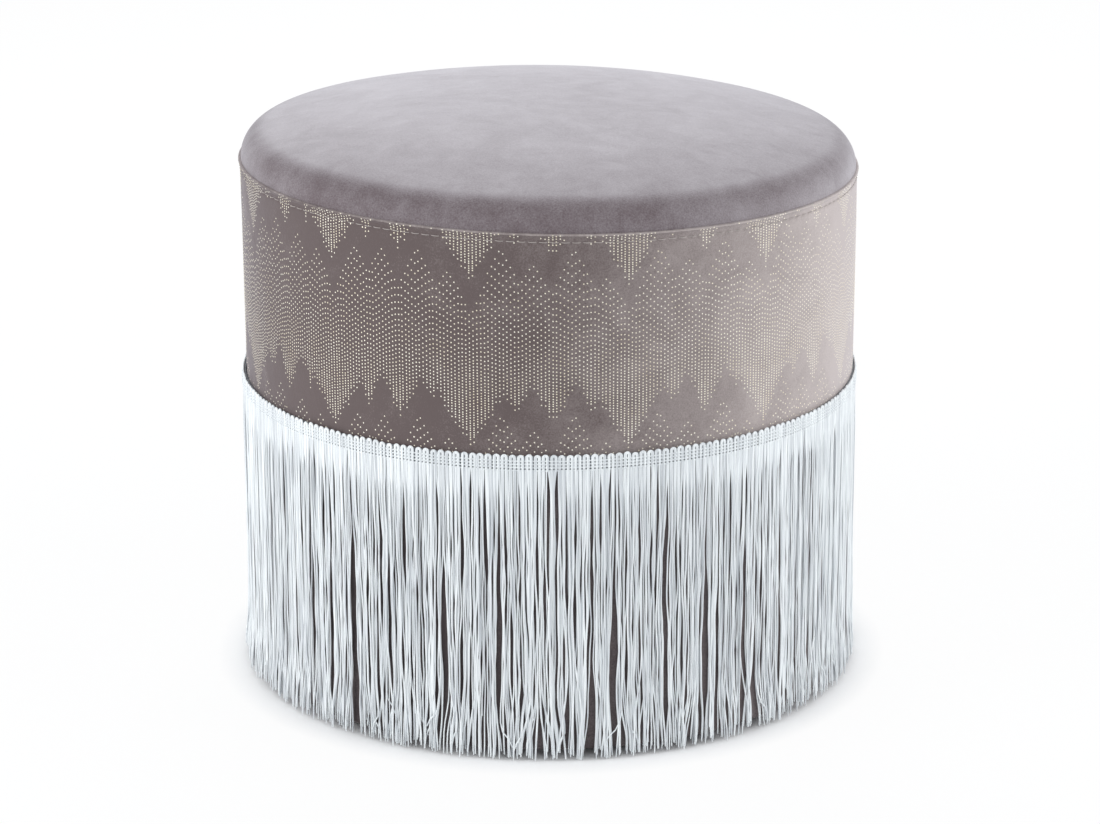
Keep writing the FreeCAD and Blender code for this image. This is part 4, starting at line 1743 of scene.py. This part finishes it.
@dataclass
class Stuffing:
    """The foam under the velvet: a crowned block on the seat board and a thin wrap round the wall."""

    drum: Drum
    columns: int = 96
    edge: float = 3 * MM
    below: float = 1.2 * MM

    def build(self) -> list[bpy.types.Object]:
        """Makes both foams.

        Returns:
            The pieces.
        """
        foam = Plain("foam", tone(226, 214, 178), tone(240, 232, 204), 1.5 * MM, 0.4 * MM, 0.95).make()
        return [self._block(foam), self._wrap(foam)]

    def _block(self, foam: bpy.types.Material) -> bpy.types.Object:
        """The seat's foam block, crowned like the cover over it.

        Args:
            foam: The foam's finish.

        Returns:
            The piece.
        """
        low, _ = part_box("seat_foam")
        cover_radius, rise = (values[:0:-1] for values in SeatCover(self.drum).rings())
        wide = cover_radius[0] - self.drum.velvet - self.below
        radius = np.concatenate(((wide - self.edge, wide), np.minimum(cover_radius, wide)))[:, None]
        angle = turn_angles(self.columns)[None, :]
        drop = self.drum.seam_drop * cover_radius[:, None] / self.drum.radius * np.cos(angle)
        top = self.drum.seam - drop + rise[:, None] - self.drum.velvet - self.below
        foot = np.full((2, self.columns), low.z) + np.array((0.0, self.edge))[:, None]
        grid = around(radius, angle, np.concatenate((foot, top)))
        mesh = capped("seat_foam_block", grid, 60.0)
        piece = make_piece("seat_foam_block", mesh, foam, Slot.FOAM, "seat_foam")
        return piece

    def _wrap(self, foam: bpy.types.Material) -> bpy.types.Object:
        """The foam round the wall, cut square and butted at the back.

        Args:
            foam: The foam's finish.

        Returns:
            The piece.
        """
        low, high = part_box("side_foam")
        inside, outside = high.x - 5 * MM, high.x
        bevel = 1 * MM
        profile = np.array(((inside, high.z), (inside, low.z), (outside - bevel, low.z),
                            (outside, low.z + bevel), (outside, high.z - bevel), (outside - bevel, high.z)))
        gap = 0.8 * MM / outside
        angle = BACK + np.linspace(gap, TURN - gap, self.columns * 2)[None, :]
        grid = around(profile[:, :1], angle, profile[:, 1:])
        shape = Shape()
        shape.add_grid(grid, close_rows=True, close_columns=False)
        rows = len(profile)
        shape.add(grid[:, 0], np.arange(rows)[None, ::-1])
        shape.add(grid[:, -1], np.arange(rows)[None, :])
        mesh = shape.mesh("side_foam_wrap", 30.0)
        weld(mesh)
        piece = make_piece("side_foam_wrap", mesh, foam, Slot.FOAM, "side_foam")
        return piece


class Frame:
    """The wooden frame inside, whose solids are kept and finished."""

    def dress(self) -> None:
        """Gives each kept solid its wood, board or wire."""
        plywood = Wood("plywood", tone(214, 186, 142), tone(186, 152, 104), (0.2, 3.0, 1.0), 1.5 * MM).make()
        pine = Wood("pine", tone(226, 196, 148), tone(196, 154, 100), (3.0, 3.0, 0.15)).make()
        board = Plain("hardboard", tone(122, 88, 58), tone(142, 106, 72), 1.4 * MM, 0.05 * MM, 0.7).make()
        wire = bright_wire("frame_staple_wire")
        finishes = {"base_board": plywood, "seat_board": plywood, "wall_joint_strip": plywood,
                    "wall_panel": board}
        finishes |= {f"post_{number}": pine for number in range(1, 5)}
        finishes |= dict.fromkeys(("base_staples", "seat_staples"), wire)
        for node, finish in finishes.items():
            self._finish(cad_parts[node], finish)
            LOG.info("%s: finished", node)

    @staticmethod
    def _finish(solid: bpy.types.Object, finish: bpy.types.Material) -> None:
        """Puts a finish into every slot of a kept solid.

        Args:
            solid: The solid.
            finish: Its finish.
        """
        if not solid.material_slots:
            solid.data.materials.append(finish)
        for slot in solid.material_slots:
            slot.material = finish


def main() -> None:
    """Builds the studio and the tuffet, piece by piece."""
    logging.basicConfig(level=logging.INFO, format="%(name)s: %(message)s")
    drum = Drum.from_frame()
    Studio().build()
    SeatCover(drum).build()
    band = PrintedBand(drum)
    band.build()
    FoilPrint(drum, band).build()
    PlainBand(drum).build()
    Fringe(drum).build()
    Foot(drum).build()
    Stuffing(drum).build()
    Frame().dress()


if __name__ == "__main__":
    main()
